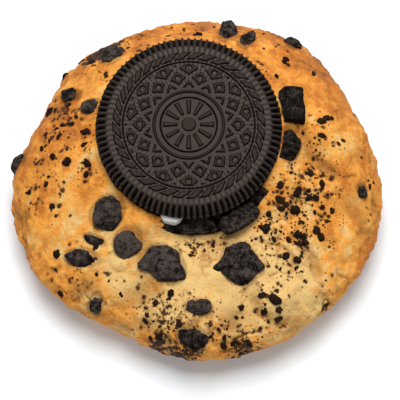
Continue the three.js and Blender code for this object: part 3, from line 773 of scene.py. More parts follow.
# Where the dough is browner or paler than elsewhere: middle, reach, turn in degrees, amount.
BAKE_LEVEL = 0.5
RIM_BAKE, RIM_BAKE_POWER = 0.2, 9
# The side darkens towards its foot: partly browning, partly painted shade where it turns under.
FOOT_BAKE_AND_SHADE, FOOT_BAKE_AND_SHADE_FROM = 0.7, 0.8         # the second as a share of the rim's height
BAKES = [
    (mm(3, -27), mm(24, 13), 0, -0.62),
    (mm(24, -30), mm(12, 8), 20, -0.2),
    (mm(-22, -22), mm(8, 7), 0, -0.2),
    (mm(27, -6), mm(9, 8), 0, -0.12),
    (mm(30, 26), mm(14, 10), -40, 0.35),
    (mm(38, -16), mm(7, 12), -25, 0.05),
    (mm(-2, 37), mm(16, 6), 0, 0.15),
    (mm(-38, 8), mm(6, 16), 0, 0.3),
    (mm(-32, 13), mm(6, 9), 0, 0.3),
    (mm(-24, -27), mm(5, 5), 0, 0.1),
    (mm(-28, -10), mm(7, 8), 0, -0.12),
    (mm(-14, -30), mm(7, 3), 50, 0.1),
    (mm(29, -14), mm(6, 4), 30, 0.15),
    (mm(0, 36), mm(44, 12), 0, 0.3),
    (mm(21, -31), mm(9, 7), 15, -0.4),
    (mm(1, -19), mm(11, 5), 0, -0.45),
    (mm(16, -20), mm(8, 9), 0, -0.3),
    (mm(-12, -36), mm(8, 5), 20, -0.25),
    (mm(-30, -1), mm(5, 1.5), 47, -0.5),
    (mm(-18, -31), mm(7, 5), 0, -0.3),
    (mm(-26, -28), mm(2, 6), 20, -0.35),
    (mm(-30, -12), mm(7, 2), 30, -0.2),
    (mm(25, -4), mm(6, 5), 0, -0.2),
]
# Dark patches, burnt on to the rim and fainter further in; along the front rim they are partly painted shade
# of the side turning under: middle, reach, turn in degrees, amount.
BURNS_AND_SHADE = [
    (mm(-4, -43), mm(6, 1.5), -5, 1.3),
    (mm(11, -42), mm(6, 2), 5, 1.1),
    (mm(-10, -40.5), mm(3, 1.5), 15, 1),
    (mm(20, -37), mm(3, 1), 0, 0.8),
    (mm(30, -32), mm(3, 1), 45, 1),
    (mm(-24, 32), mm(8, 3.4), 40, 1.6),
    (mm(-6, -36), mm(7, 4), 0, 0.85),
    (mm(20, -10), mm(7, 8), 0, 0.3),
    (mm(-34, 14), mm(4, 9), 0, 0.35),
]
BLOCK = 50                                   # spots measured at a time


def nearest_gap(x, y, places, radii):
    """How far each place is outside the nearest of many round spots, below nought inside one."""
    gap = np.full(x.shape, FAR)
    for block in np.array_split(np.arange(len(places)), len(places) // BLOCK + 1):
        away = np.hypot(x[..., None] - places[block, 0], y[..., None] - places[block, 1]) - radii[block]
        gap = np.minimum(gap, away.min(-1))
    return gap


def ring_normals(rings):
    """Outward directions of rings: the cross product of the steps along and round them."""
    facing = np.cross(np.gradient(rings, axis=0), np.roll(rings, -1, 1) - np.roll(rings, 1, 1))
    return facing / np.maximum(np.linalg.norm(facing, axis=-1, keepdims=True), 1e-12)


def dough_rings(form):
    """Rings round the biscuit's middle: over the dome to the rim, down the rounded side, and under.

    Each ring's radius grows from the biscuit to where a ray in its direction meets the outline,
    found by halving. Below the rim the points move in along a quarter of an ellipse.
    """
    place, columns = np.array(form.biscuit.place), form.dough.columns
    angle = round_angles(columns)
    ray = np.stack([np.cos(angle), np.sin(angle)], -1)
    low, high = np.zeros(columns), np.full(columns, 2 * form.dough.radius)
    for _ in range(HALVINGS):
        middle = (low + high) / 2
        inside = form.share(*(place[:2] + middle[:, None] * ray).T) < 1
        low, high = np.where(inside, middle, low), np.where(inside, high, middle)

    (start, wall, end), counts = SEAT_ROWS
    seat = np.concatenate([np.linspace(start, wall, counts[0]), np.linspace(wall, end, counts[1])[1:]])
    way = np.linspace(0, 1, DOME_ROWS + 1)[1:, None]
    dome = end + (low - end) * (1 - (1 - way) ** DOME_ROW_POWER)
    radius = np.concatenate([np.broadcast_to(seat[:, None], (len(seat), columns)), dome])
    flat = place[:2] + radius[..., None] * ray
    top = np.concatenate([flat, form.top(flat[..., 0], flat[..., 1])[..., None]], -1)

    turn = np.linspace(0, math.pi / 2, SIDE_ROWS + 1)[1:, None, None]
    side = flat[-1] * (FOOT_SHARE + (1 - FOOT_SHARE) * np.cos(turn))
    level = np.broadcast_to(form.dough.rim_height * (1 - np.sin(turn)), (*side.shape[:2], 1))
    under = flat[-1] * FOOT_SHARE * np.array(UNDER_SHARES)[:, None, None]
    floor = np.zeros((*under.shape[:2], 1))
    return np.concatenate([top, np.concatenate([side, level], -1), np.concatenate([under, floor], -1)])


def press(x, y):
    """How the dough swells up against the broken pieces' sides."""
    height = np.zeros_like(x)
    for _, at, size, turn, _ in CHUNKS:
        gap = footprint_gap(x, y, at, size, turn)
        height += PRESS_TALL * np.exp(-((gap - PRESS_OUT) / PRESS_WIDE) ** 2)
    return height


def seat_depth(form, points):
    """How high the dough may reach: under the upper wafer, and lower inside the lower wafer."""
    place = form.in_biscuit(points)
    inner = form.biscuit.radius - SEAT_INSET
    upper = np.hypot(place[..., 0], place[..., 1]) < inner
    lower = np.hypot(place[..., 0] - LOWER_SHIFT[0], place[..., 1] - LOWER_SHIFT[1]) < inner
    x, y, z = np.moveaxis(points, -1, 0)
    towards = np.degrees(np.arctan2(place[..., 1], place[..., 0])) % 360
    free = (towards > LAP_FREE[0]) & (towards < LAP_FREE[1])
    laps = ~upper & ~free & (z > form.biscuit_level(x, y, LAP_LEVEL))
    limit = np.where(upper, form.biscuit_level(x, y, SEAT_LEVELS[0]), FAR)
    return np.where(lower & ~laps, np.minimum(limit, form.biscuit_level(x, y, SEAT_LEVELS[1])), limit)


def make_dough(form, crumbs, specks, finish):
    """The dough: its rings, moved out along their directions by its lumps, and cut for the biscuit."""
    rings = dough_rings(form)
    x, y, z = np.moveaxis(rings, -1, 0)
    share = form.share(x, y)
    rim = smooth(*RIM_SHARES, share)
    bumps = lumps(rings) * (1 + RIM_LUMPIER * rim) + roughness(rings, RIM_LUMPS) * rim
    above = smooth(*LUMPY_FROM, z)
    on_top = smooth(form.dough.rim_height + TOP_FROM[0], form.dough.rim_height + TOP_FROM[1], z)
    moved = rings + ring_normals(rings) * ((bumps + press(x, y) * on_top) * above)[..., None]
    moved[..., 2] = np.clip(moved[..., 2], 0, seat_depth(form, moved))

    bake = BAKE_LEVEL + bells(x, y, BAKES) + RIM_BAKE * share ** RIM_BAKE_POWER
    # Towards the foot: partly browning, partly painted shade.
    bake += FOOT_BAKE_AND_SHADE * smooth(form.dough.rim_height * FOOT_BAKE_AND_SHADE_FROM, 0, z)
    folds = sum(np.exp(-(distance_to_line(x, y, points) / wide) ** 2) for points, wide, _ in CREASES)
    # The first swell is a broad trough, which isn't darkened.
    sunk = bells(x, y, [(at, reach, turn, SWELL_SHADE) for at, reach, turn, tall in SWELLS[1:] if tall < 0])
    low = np.clip(-bumps / LOWEST_LUMP, 0, 1)
    # Painted shade: darker along creases, in sunk swells and in the lumps' lowest parts.
    crevice_shade = np.clip(FOLD_SHADE * folds + sunk + low * LUMP_SHADE, 0, 1) * on_top

    places, long = specks
    gap = np.maximum(nearest_gap(x, y, places, long / 2), 0)
    stain = SPECK_STAIN * np.exp(-(gap / SPECK_STAIN_WIDE) ** 2)
    stained = [(*crumb, CRUMB_STAIN_WIDE) for crumb in crumbs]
    stained += [(*chunk[1:4], CHUNK_STAIN_WIDE) for chunk in CHUNKS]
    for at, size, turn, wide in stained:
        gap = np.maximum(footprint_gap(x, y, at, size, turn), 0)
        stain = np.maximum(stain, PIECE_STAIN * np.exp(-(gap / wide) ** 2))
    dust = bells(x, y, [(at, reach, 0, DUST * count * mm(1) ** 2 / (reach[0] * reach[1]))
                        for at, reach, count in SPECK_AREAS])
    make_ringed("baked_dough", moved, "dough", "dough", finish, {
        "bake": bake, "crevice_shade": crevice_shade, "stain": stain * on_top, "dust": np.clip(dust, 0, MOST_DUST),
        "burnt_and_shade": bells(x, y, BURNS_AND_SHADE) * smooth(0, CHAR_FROM, z)})


# ---- crumbs and broken pieces ------------------------------------------------------------------

# Small knobs on broken pieces: node, direction in degrees, how far out and how wide in degrees.
KNOBS = [
    ("chunk_front_b", 191, mm(1.9), 15),
    ("chunk_front_c", 192, mm(1.8), 15),
    ("chunk_front_c", 352, mm(1.2), 12),
]
# Pressed lines left on the top of two broken pieces: node, direction, spacing and depth.
PRESSED = [("chunk_front_c", 40, mm(1.25), mm(0.22)), ("chunk_right_b", 100, mm(1.3), mm(0.15))]
CHUNK_SOFTNESS = 17
# How pale a broken piece is, from 0 to 1, where it isn't MIDDLING_TONE.
TONES = {
    "chunk_front_a": 0.8, "chunk_front_b": 0.62, "chunk_bottom_c": 0.62, "chunk_left_front": 0.55,
    "chunk_back_a": 0.53, "chunk_back_left": 0.53, "chunk_left_b": 0.53, "chunk_bottom_a": 0.5,
    "chunk_left_a": 0.35, "chunk_low_a": 0.38, "chunk_low_b": 0.38, "chunk_bottom_b": 0.27,
    "chunk_right_b": 0.24, "chunk_right_a": 0.08,
}
MIDDLING_TONE = 0.44
WAFER_TONE = 0.36                # of the lower wafer and the shard
CHUNK_STEPS = (34, 20)           # mesh steps along a cube's edge, on the longer pieces and the others
LONG_CHUNK = mm(7)
CHUNK_SEED, LOWER_SEED, SHARD_SEED = 20, 40, 50
CRUMBLED = [(mm(0.34), mm(2.8), 0), (mm(0.1), mm(1.1), 1), (mm(0.06), mm(0.5), 2)]
BREAK_DEEP = mm(0.26)
KNOB_RISE = 0.1                  # knobs point up by this, for one across
LINE_WIDE = mm(0.22)
LINES_FROM = mm(1.5)             # the pressed lines fade out below this, from the piece's middle
# Crumbs and specks: mesh steps, first seed, how far the middle stands out of the dough as a share
# of the height, and how brown the brownest is.
CRUMB_STEPS, CRUMB_SEED, CRUMB_OUT, CRUMB_BROWN = 7, 40.0, 0.05, 0.25
SPECK_STEPS, SPECK_SEED, SPECK_OUT, SPECK_BROWN = 3, 200.0, -0.1, 1.0
# A crumb's lumps: heights as shares of the distance from its middle, sizes as shares of its length.
CRUMB_LUMPS = [(0.36, 0.55, 3), (0.2, 0.25, 4)]


def crumbling(points, seed):
    """How far a broken surface stands in or out: lumps, sharp little breaks and grains."""
    breaks = np.exp(-(noise(points, mm(2.6), seed + 3) / 0.09) ** 2)
    return roughness(points, CRUMBLED, seed) - BREAK_DEEP * breaks


def make_chunk(form, index, chunk, finish):
    """One broken piece: a ball drawn in to softened planes, crumbled, with its knobs and lines."""
    name, at, size, turn, proud = chunk
    directions, quads = cube_ball(CHUNK_STEPS[size[0] <= LONG_CHUNK])
    points = broken_ball(directions, [index + 1], CHUNK_SOFTNESS, name in BOXY)[0] * size
    for node, towards, out, wide in KNOBS:
        if node == name:
            near = directions @ np.array([*cos_sin(towards - turn), KNOB_RISE])
            points += directions * (out * np.exp(-((1 - near) / (1 - cos_sin(wide)[0]))))[:, None]
    outward = directions / size
    outward /= np.linalg.norm(outward, axis=1)[:, None]
    height = crumbling(points, CHUNK_SEED + index)
    for node, towards, spacing, deep in PRESSED:
        if node == name:
            c, s = cos_sin(towards)
            across = points[:, 0] * s + points[:, 1] * c
            line = np.abs(across / spacing - np.round(across / spacing)) * spacing
            height -= deep * np.exp(-(line / LINE_WIDE) ** 2) * smooth(0, LINES_FROM, points[:, 2])
    points = points + outward * height[:, None]
    points = turned(points, turn) + [*at, form.top(*at) + proud - size[2] / 2]
    if name in BESIDE_BISCUIT:
        points = clear_of_wafers(form, points)
    tone = np.full(len(points), TONES.get(name, MIDDLING_TONE))
    own_name = "broken_" + name.removeprefix("chunk_")
    fit_to_frame(put_mesh(own_name, points, quads, fields={"tone": tone}, finish=finish), "chunks", name)


def clear_of_wafers(form, points):
    """Points that would lie in a wafer, or over the upper one, moved out to a gap from its side."""
    place = form.in_biscuit(points)
    upper_low = -form.biscuit.thick
    lower_top = upper_low - CREAM_LAYER
    lower_low = lower_top - form.biscuit.thick
    for shift, low, high in (((0, 0), upper_low, FAR), (LOWER_SHIFT, lower_low, lower_top)):
        x, y, level = np.moveaxis(place - [*shift, 0], -1, 0)
        out = np.hypot(x, y)
        beside = (level > low) & (level < high)
        grow = np.where(beside, np.maximum(out, form.biscuit.radius + GAP), out) / out
        place = np.stack([x * grow + shift[0], y * grow + shift[1], level], -1)
    return form.from_biscuit(place)


def make_strewn(name, form, places, sizes, seeds, turns, out, steps, brown, finish):
    """Many crumbs in one mesh: the same gridded ball, drawn in differently for each, half in the dough."""
    directions, quads = cube_ball(steps)
    shapes = broken_ball(directions, seeds) * sizes[:, None, :]
    own = shapes / sizes[:, None, :1] + seeds[:, None, None]
    shapes *= 1 + roughness(own, CRUMB_LUMPS)[..., None]
    c, s = np.cos(turns)[:, None], np.sin(turns)[:, None]
    x, y, z = np.moveaxis(shapes, -1, 0)
    facing = form.normal(*places.T)
    side = np.stack([facing[:, 2], np.zeros(len(facing)), -facing[:, 0]], -1)
    side /= np.linalg.norm(side, axis=1)[:, None]
    up = np.cross(facing, side)
    base = np.column_stack([places, form.top(*places.T)])
    base = base + facing * (lumps(base) + out)[:, None]
    points = (base[:, None] + side[:, None] * (x * c - y * s)[..., None]
              + up[:, None] * (x * s + y * c)[..., None] + facing[:, None] * z[..., None])
    quads = (np.arange(len(places))[:, None, None] * len(directions) + quads).reshape(-1, 4)
    shade = np.repeat(chance(seeds * 3.7 + 0.3) * brown, len(directions))
    piece = put_mesh(name, points.reshape(-1, 3), quads, fields={"shade": shade}, finish=finish)
    fit_to_frame(piece, "chunks", "dough")


def make_large_crumbs(form, crumbs, seed, finish):
    """The crumbs that the dough's solid carries, and small ones strewn where the specks are."""
    chips, long = speck_places(form, seed + 3, CHIP_SHARE, CHIP_SIZE)
    draw = np.random.default_rng(seed + 2)
    wide = long * draw.uniform(STREWN_WIDE, 1, len(long))
    at = np.concatenate([[place for place, _, _ in crumbs], chips])
    flat = np.concatenate([[size for _, size, _ in crumbs], np.stack([long, wide], -1)])
    sizes = np.column_stack([flat, flat[:, 1] * CRUMB_TALL])
    turns = np.radians([turn for _, _, turn in crumbs] + list(draw.random(len(long)) * 180))
    make_strewn("large_crumbs", form, at, sizes, np.arange(len(at)) + CRUMB_SEED, turns,
                sizes[:, 2] * CRUMB_OUT, CRUMB_STEPS, CRUMB_BROWN, finish)


def make_fine_specks(form, specks, seed, finish):
    """The fine specks, each of its own width and height."""
    places, long = specks
    draw = np.random.default_rng(seed + 1)
    sizes = long[:, None] * draw.uniform(*SPECK_SIDES, (len(long), 3))
    turns = draw.random(len(long)) * math.pi
    make_strewn("fine_specks", form, places, sizes, np.arange(len(long)) + SPECK_SEED, turns,
                sizes[:, 2] * SPECK_OUT, SPECK_STEPS, SPECK_BROWN, finish)


# ---- the biscuit -------------------------------------------------------------------------------

FACE_COLUMNS_A_RIDGE, RIM_COLUMNS_A_RIDGE = 8, 12
FACE_ROWS = 128
PAD_TALL = mm(0.75)
FACE_GROUND = mm(-0.35)
ROPE = {"radius": mm(17.3), "half": mm(0.95), "twists": 36, "lean": mm(1.2), "gap": mm(0.8)}
THIN_RINGS = [(mm(15.75), mm(0.2)), (mm(6.75), mm(0.2))]
LATTICE = {"inner": mm(9.3), "outer": mm(15.1), "cells": 14, "tall": mm(4.83), "gap": mm(0.5)}
DIMPLE = mm(0.65)
SUN = {"bars": 12, "inner": mm(2.7), "outer": mm(6.1), "half": mm(0.5)}
BOSS = mm(1.7)
SOFT_EDGE = mm(0.16)
GROOVE_AT = mm(0.03)              # the painted shade round a pad lies this far outside its edge
GROOVE_HALF = mm(0.3)
FACE_START = mm(0.15)             # the innermost ring's radius
FACE_SKIRT = mm(0.5)              # how far below height nought the face's side reaches
FACE_WEAR = [(mm(0.05), mm(1.6), 31), (mm(0.03), mm(0.5), 32)]
EDGE_WEAR = [(mm(0.1), mm(1.3), 35), (mm(0.05), mm(0.5), 36)]
CREAM_WEAR = [(mm(0.3), mm(3), 45), (mm(0.12), mm(1), 46)]


def pad_depth(radius, angle):
    """How far inside the nearest raised pad a place on the face is, below nought between pads.

    The face has, from its edge inwards: a rope of leaning strands, a thin ring, a lattice of
    lozenges with a dimple in each, a broad ring, a thin ring, a sun of straight bars and a round
    boss. Each is the distance to its own outline, and the greatest holds.
    """
    pads = [half - np.abs(radius - ring) for ring, half in THIN_RINGS]
    pads.append(MEDALLION_WIDE / 2 - np.abs(radius - MEDALLION_RADIUS))

    out = radius - ROPE["radius"]
    pitch = 2 * math.pi * ROPE["radius"] / ROPE["twists"]
    across = (angle * ROPE["twists"] / (2 * math.pi) + out * ROPE["lean"] / ROPE["half"] / pitch) % 1 - 0.5
    steep = math.hypot(1, ROPE["lean"] / ROPE["half"])
    strand = ((0.5 - np.abs(across)) * pitch - ROPE["gap"] / 2) / steep
    pads.append(np.minimum(strand, ROPE["half"] - np.abs(out)))

    turns = angle * LATTICE["cells"] / (2 * math.pi)
    rise = (radius - LATTICE["inner"]) / LATTICE["tall"]
    wide = 2 * math.pi * np.maximum(radius, mm(1)) / LATTICE["cells"]
    scale = 1 / np.hypot(1 / wide, 1 / LATTICE["tall"])
    first, second = (turns + rise) % 1 - 0.5, (turns - rise) % 1 - 0.5
    lozenge = np.minimum(0.5 - np.abs(first), 0.5 - np.abs(second)) * scale - LATTICE["gap"]
    dimple = np.hypot((first + second) / 2 * wide, (first - second) / 2 * LATTICE["tall"]) - DIMPLE
    band = np.minimum(radius - LATTICE["inner"], LATTICE["outer"] - radius)
    pads.append(np.minimum(np.minimum(lozenge, dimple), band))

    spoke = angle * SUN["bars"] / (2 * math.pi)
    aside = np.abs(spoke - np.round(spoke)) * 2 * math.pi * radius / SUN["bars"]
    widen = SUN["half"] * (0.75 + 0.5 * (radius - SUN["inner"]) / (SUN["outer"] - SUN["inner"]))
    pads.append(np.minimum(widen - aside, np.minimum(radius - SUN["inner"], SUN["outer"] - radius)))
    pads.append(BOSS - radius)
    return np.max(pads, axis=0)


def make_face(form, finish):
    """The upper wafer's pressed face: a disc in rings whose height follows the pads."""
    angle = round_angles(form.biscuit.ridges * FACE_COLUMNS_A_RIDGE)
    radius = np.linspace(FACE_START, FACE_RADIUS, FACE_ROWS)[:, None]
    depth = pad_depth(*np.broadcast_arrays(radius, angle))
    raised = smooth(-SOFT_EDGE, SOFT_EDGE, depth)
    level = FACE_GROUND + PAD_TALL * raised * (0.85 + 0.15 * smooth(0, mm(0.6), depth))
    flat = round_rings(radius, angle, 0.0)
    level = level * (0.85 + 0.35 * noise(flat, mm(5), 33)) + roughness(flat, FACE_WEAR)
    rings = round_rings(radius, angle, level)
    rings = np.concatenate([rings, rings[-1:] * [1, 1, 0] - [0, 0, FACE_SKIRT]])
    # The groove field is painted shade: a dark band round each pad's foot.
    fields = {"pad": smooth(0, mm(0.3), depth), "groove_shade": np.exp(-((depth + GROOVE_AT) / GROOVE_HALF) ** 6)}
    fields = {name: np.concatenate([field, field[-1:]]) for name, field in fields.items()}
    make_ringed("wafer_face", form.from_biscuit(rings), "wafer", "wafer_top", finish, fields)


# The edge's section over a ridge and in a groove, from the face outwards, down and in under it.
UNDER_SECTION = [mm(22.4, -2.8), mm(22.4, -3.2), mm(22.2, -3.4), mm(12, -3.4), mm(1, -3.4)]
RIDGE_SECTION = [mm(19.3, -0.12), mm(19.75, 0.02), mm(21, -0.2), mm(21.8, -0.55), mm(22.25, -1.2),
                 mm(22.25, -2.45), mm(22.3, -2.6), *UNDER_SECTION]
GROOVE_SECTION = [mm(19.3, -0.12), mm(19.7, -0.35), mm(20.4, -1.05), mm(21.1, -1.5), mm(21.55, -1.9),
                  mm(21.7, -2.45), mm(22.1, -2.6), *UNDER_SECTION]
EDGE_STEPS, DISC_STEPS = 3, 6    # rows between two points of a section
RIDGE_SIDE = (0.28, 0.75)        # where a ridge's side lies, from a groove's middle at 0 to its own at 1


def along_section(section, steps):
    """Radii and levels, with even steps between each two of a section's points."""
    at = np.linspace(0, len(section) - 1, (len(section) - 1) * steps + 1)
    return [np.interp(at, np.arange(len(section)), side)[:, None] for side in np.array(section).T]


def make_edge(form, finish):
    """The upper wafer's edge: a ridge section and a groove section, blended in turn round the disc."""
    biscuit = form.biscuit
    angle = round_angles(biscuit.ridges * RIM_COLUMNS_A_RIDGE)
    wobble = 0.06 * np.sin(7 * angle) + 0.05 * np.sin(13 * angle + 1)
    phase = np.abs((angle / (2 * math.pi) * biscuit.ridges + wobble) % 1 - 0.5) * 2
    ridge = smooth(*RIDGE_SIDE, phase)
    high_out, high_level = along_section(RIDGE_SECTION, EDGE_STEPS)
    low_out, low_level = along_section(GROOVE_SECTION, EDGE_STEPS)
    radius = low_out + (high_out - low_out) * ridge
    level = low_level + (high_level - low_level) * ridge
    rings = round_rings(radius, angle, level)
    rings = rings + ring_normals(rings) * roughness(rings, EDGE_WEAR)[..., None]
    # The grooves between the ridges get painted shade.
    make_ringed("wafer_edge", form.from_biscuit(rings), "wafer", "wafer_top", finish, {
        "pad": 0.55 + 0.45 * ridge * smooth(mm(-2.5), mm(-0.3), level),
        "groove_shade": (1 - ridge) * smooth(mm(19.4), mm(20.2), radius)})


DISC_COLUMNS = 400
# Where the lower wafer is broken down, for the shard: direction, half its width and how much of that
# is its sloping end, in degrees, its depth, and where it starts and half that slope as shares of the radius.
NOTCH = {"at": 302, "half": 17, "end": 3, "deep": mm(2.2), "from": 0.86, "slope": 0.02}
WAFER_CHAMFER = mm(0.4)
CREAM_ROUND = mm(0.3)
CREAM_OVERLAP = mm(0.05)         # how far the cream reaches into each wafer


def disc_rings(reach, section):
    """Rings of a disc: its outer radius in each direction times the section's shares, at its levels."""
    share, level = along_section(section, DISC_STEPS)
    return round_rings(share * reach, round_angles(DISC_COLUMNS), level)


def degrees_apart(angle, at):
    """How many degrees a direction in radians is from one in degrees, the shorter way round."""
    return np.abs((np.degrees(angle) - at + 180) % 360 - 180)


def make_lower_wafer(form, finish):
    """The lower wafer: a disc with a crumbled edge, broken down where the shard lies."""
    reach = form.biscuit.radius
    top = -(form.biscuit.thick + CREAM_LAYER)
    low = top - form.biscuit.thick
    rings = disc_rings(reach, [
        (0.02, top), (0.8, top), (0.98, top), (1, top - WAFER_CHAMFER), (1, low + WAFER_CHAMFER),
        (0.98, low), (0.02, low)])
    share = np.hypot(rings[..., 0], rings[..., 1]) / reach
    rings = rings + ring_normals(rings) * (crumbling(rings, LOWER_SEED) * smooth(0.7, 0.95, share))[..., None]
    apart = degrees_apart(round_angles(DISC_COLUMNS), NOTCH["at"])
    broken = smooth(NOTCH["half"], NOTCH["half"] - NOTCH["end"], apart)
    broken = broken * smooth(NOTCH["from"] - NOTCH["slope"], NOTCH["from"] + NOTCH["slope"], share)
    rings[..., 2] = np.minimum(rings[..., 2], top - NOTCH["deep"] * broken)
    rings = form.from_biscuit(rings + [*LOWER_SHIFT, 0])
    make_ringed("lower_wafer", rings, "wafer", "wafer_bottom", finish, {"tone": WAFER_TONE})


def make_cream(form, finish):
    """The cream: a disc from wafer to wafer, with a bulging edge and a lobe squeezed out in front."""
    at, spread, out = CREAM_LOBE
    reach = CREAM_RADIUS + out * np.exp(-(degrees_apart(round_angles(DISC_COLUMNS), at) / spread) ** 4)
    top, low = -form.biscuit.thick + CREAM_OVERLAP, -form.biscuit.thick - CREAM_LAYER - CREAM_OVERLAP
    rings = disc_rings(reach, [
        (0.03, top), (0.9, top), (0.985, top - CREAM_ROUND), (1, (top + low) / 2), (0.985, low + CREAM_ROUND),
        (0.9, low), (0.03, low)])
    edge = smooth(0.85, 0.97, np.hypot(rings[..., 0], rings[..., 1]) / reach)
    rings = rings + ring_normals(rings) * (roughness(rings, CREAM_WEAR) * edge)[..., None]
    make_ringed("cream_filling", form.from_biscuit(rings), "cream", "cream", finish, {})


SHARD_ROWS, SHARD_COLUMNS = 90, 72
SHARD_BREAK = mm(0, 0.4, -0.2, 0.3, 0.1)     # how far its broken inner edge stands in or out
SHARD_CORNER = 5                             # above 2 the section is squarer than an ellipse
SHARD_END = 7                                # above 2 its ends are blunter than an ellipse's
SHARD_CRUMBLED = 0.45                        # how rough it is beside the other broken pieces


def make_shard(form, finish):
    """The shard: a squarish section carried along an arc of the wafer's edge, closed at both ends.

    The section is a superellipse between the wafer's radius and the broken line, and shrinks to
    nought at the ends as another superellipse does.
    """
    along = np.sin(np.linspace(-math.pi / 2, math.pi / 2, SHARD_ROWS + 2)[1:-1])[:, None]
    around = round_angles(SHARD_COLUMNS)
    end = (1 - np.abs(along) ** SHARD_END) ** (1 / 2)
    power = 2 / SHARD_CORNER
    out = -np.sign(np.cos(around)) * np.abs(np.cos(around)) ** power
    up = np.sign(np.sin(around)) * np.abs(np.sin(around)) ** power
    radius = form.biscuit.radius
    inner = radius - SHARD["wide"] + np.interp(along, np.linspace(-1, 1, len(SHARD_BREAK)), SHARD_BREAK)
    reach = (radius + inner) / 2 - out * (radius - inner) / 2 * end
    angle = along * math.radians(SHARD["span"] / 2)
    middle = radius - SHARD["wide"] / 2
    rings = np.stack([reach * np.sin(angle), middle - reach * np.cos(angle),
                      up * SHARD["thick"] / 2 * end], -1)
    rings = rings + ring_normals(rings) * crumbling(rings, SHARD_SEED)[..., None] * SHARD_CRUMBLED
    rings = turned(tipped(rings, SHARD["tip"]), SHARD["turn"]) + np.array(SHARD["at"])
    make_ringed("rim_shard", rings, "wafer", "wafer_shard", finish, {"tone": WAFER_TONE})


# ---- settings ----------------------------------------------------------------------------------

def colour_setting(name, description, shown):
    """A colour setting whose default is given as it looks on a screen."""
    return FloatVectorProperty(name=name, description=description, subtype="COLOR", size=3,
                               min=0, max=1, default=paint(*shown))


def length_setting(name, description, default):
    return FloatProperty(name=name, description=description, default=default, min=0,
                         subtype="DISTANCE", unit="LENGTH", precision=5)


def place_setting(name, description, default):
    return FloatVectorProperty(name=name, description=description, size=3, default=default,
                               subtype="TRANSLATION", unit="LENGTH")


def angle_setting(name, description, degrees):
    return FloatProperty(name=name, description=description, default=math.radians(degrees),
                         subtype="ANGLE", unit="ROTATION")


def light_setting(name, description, default, unit="NONE"):
    return FloatProperty(name=name, description=description, default=default, min=0, unit=unit)


class CookieDough(bpy.types.PropertyGroup):
    """The dough's sizes and colours."""
    radius: length_setting("Radius", "Radius of the circle that the dough's outline follows", mm(44.1))
    rim_height: length_setting("Rim height", "Height at which the dough is widest", mm(9))
    crown_front: length_setting("Front crown", "Height of the dome at the front", mm(19.5))
    crown_back: length_setting("Back crown", "Height of the dome under the biscuit and behind it", mm(28))
    columns: IntProperty(name="Columns", description="Mesh columns round the dough", default=720, min=24)
    specks: IntProperty(name="Speck seed", description="Seed of the specks and small crumbs", default=11,
                        min=0)
    pale: colour_setting("Pale", "Least baked dough", (226, 187, 118))
    gold: colour_setting("Gold", "Golden dough", (233, 157, 64))
    brown: colour_setting("Brown", "Well baked dough", (196, 116, 42))
    # Partly painted shade: the side's foot reaches this colour.
    burnt_and_shade: colour_setting("Burnt", "The most baked dough", (104, 62, 28))
    # Colour of the painted shade in pits, creases and torn seams.
    crevice_shade: colour_setting("Hollow", "Dough in pits and creases", (158, 106, 48))
    freckle: colour_setting("Freckles", "Small browned spots", (168, 92, 36))
    stain: colour_setting("Stain", "Dough stained by the crumbs", (54, 33, 20))
    # Partly painted shade along the front rim.
    char: colour_setting("Char", "Dark burnt patches", (30, 20, 14))


class CookieBiscuit(bpy.types.PropertyGroup):
    """The sandwich biscuit's sizes, place and colours."""
    place: place_setting("Place", "Middle of the upper face", mm(-2.55, 8.3, 29))
    tip: angle_setting("Tip", "How far the biscuit is tipped to the front", 6)
    radius: length_setting("Radius", "Radius of both wafers", mm(22.5))
    thick: length_setting("Thickness", "Thickness of each wafer", mm(3.4))
    ridges: IntProperty(name="Ridges", description="Ridges round the upper wafer's edge", default=92, min=3)
    ground: colour_setting("Ground", "The face between its raised pads", (100, 91, 88))
    pad: colour_setting("Pads", "The raised pads", (54, 45, 40))
    # Colour of the painted shade where a pad meets the ground.
    crease_shade: colour_setting("Creases", "Where a pad meets the ground", (8, 6, 4))
    crease_tint: colour_setting("Shade", "Tint of the mottling", (150, 145, 140))
    cream: colour_setting("Cream", "The cream filling", (226, 228, 224))
    cream_shade: colour_setting("Cream shade", "The cream's duller patches", (206, 206, 198))


class CookieCrumb(bpy.types.PropertyGroup):
    """Colours of the broken pieces and crumbs."""
    dark: colour_setting("Dark", "Broken pieces at their darkest", (20, 16, 13))
    light: colour_setting("Light", "Broken pieces at their palest", (82, 72, 68))
    # Colour of the painted shade in the pits.
    pit_shade: colour_setting("Pits", "Small pits in the broken pieces", (10, 8, 6))
    speck_dark: colour_setting("Dark specks", "The darkest crumbs", (30, 21, 16))
    speck_light: colour_setting("Pale specks", "The brownest crumbs", (90, 56, 31))


class CookieStage(bpy.types.PropertyGroup):
    """The floor, light and camera."""
    floor: colour_setting("Floor", "The pale floor", (231, 236, 239))
    floor_glow: light_setting("Floor glow", "Light that the floor itself gives", 0.1)
    floor_half: length_setting("Floor", "Half the floor's side", 3.0)
    sky: light_setting("Sky", "Strength of the even light all round", 0.24)
    key_power: light_setting("Key", "Power of the large soft light", 6.3, "POWER")
    key_size: length_setting("Lamp size", "Side of both soft lights", 0.45)
    key_place: place_setting("Key place", "Where the large soft light hangs", (0.0, 0.24, 0.70))
    fill_power: light_setting("Fill", "Power of the front light", 0.55, "POWER")
    fill_place: place_setting("Fill place", "Where the front light hangs", (0.12, -0.55, 0.5))
    aim: place_setting("Aim", "The point in the middle of the picture", mm(0.13, -4.7, 12))
    elevation: angle_setting("Elevation", "How steeply the camera looks down", 70)
    distance: length_setting("Distance", "From the camera to its aim", 0.4)
    lens: FloatProperty(name="Lens", description="Focal length on a 36 mm sensor, in millimetres",
                        default=146.7, min=1)


# ---- operators ---------------------------------------------------------------------------------

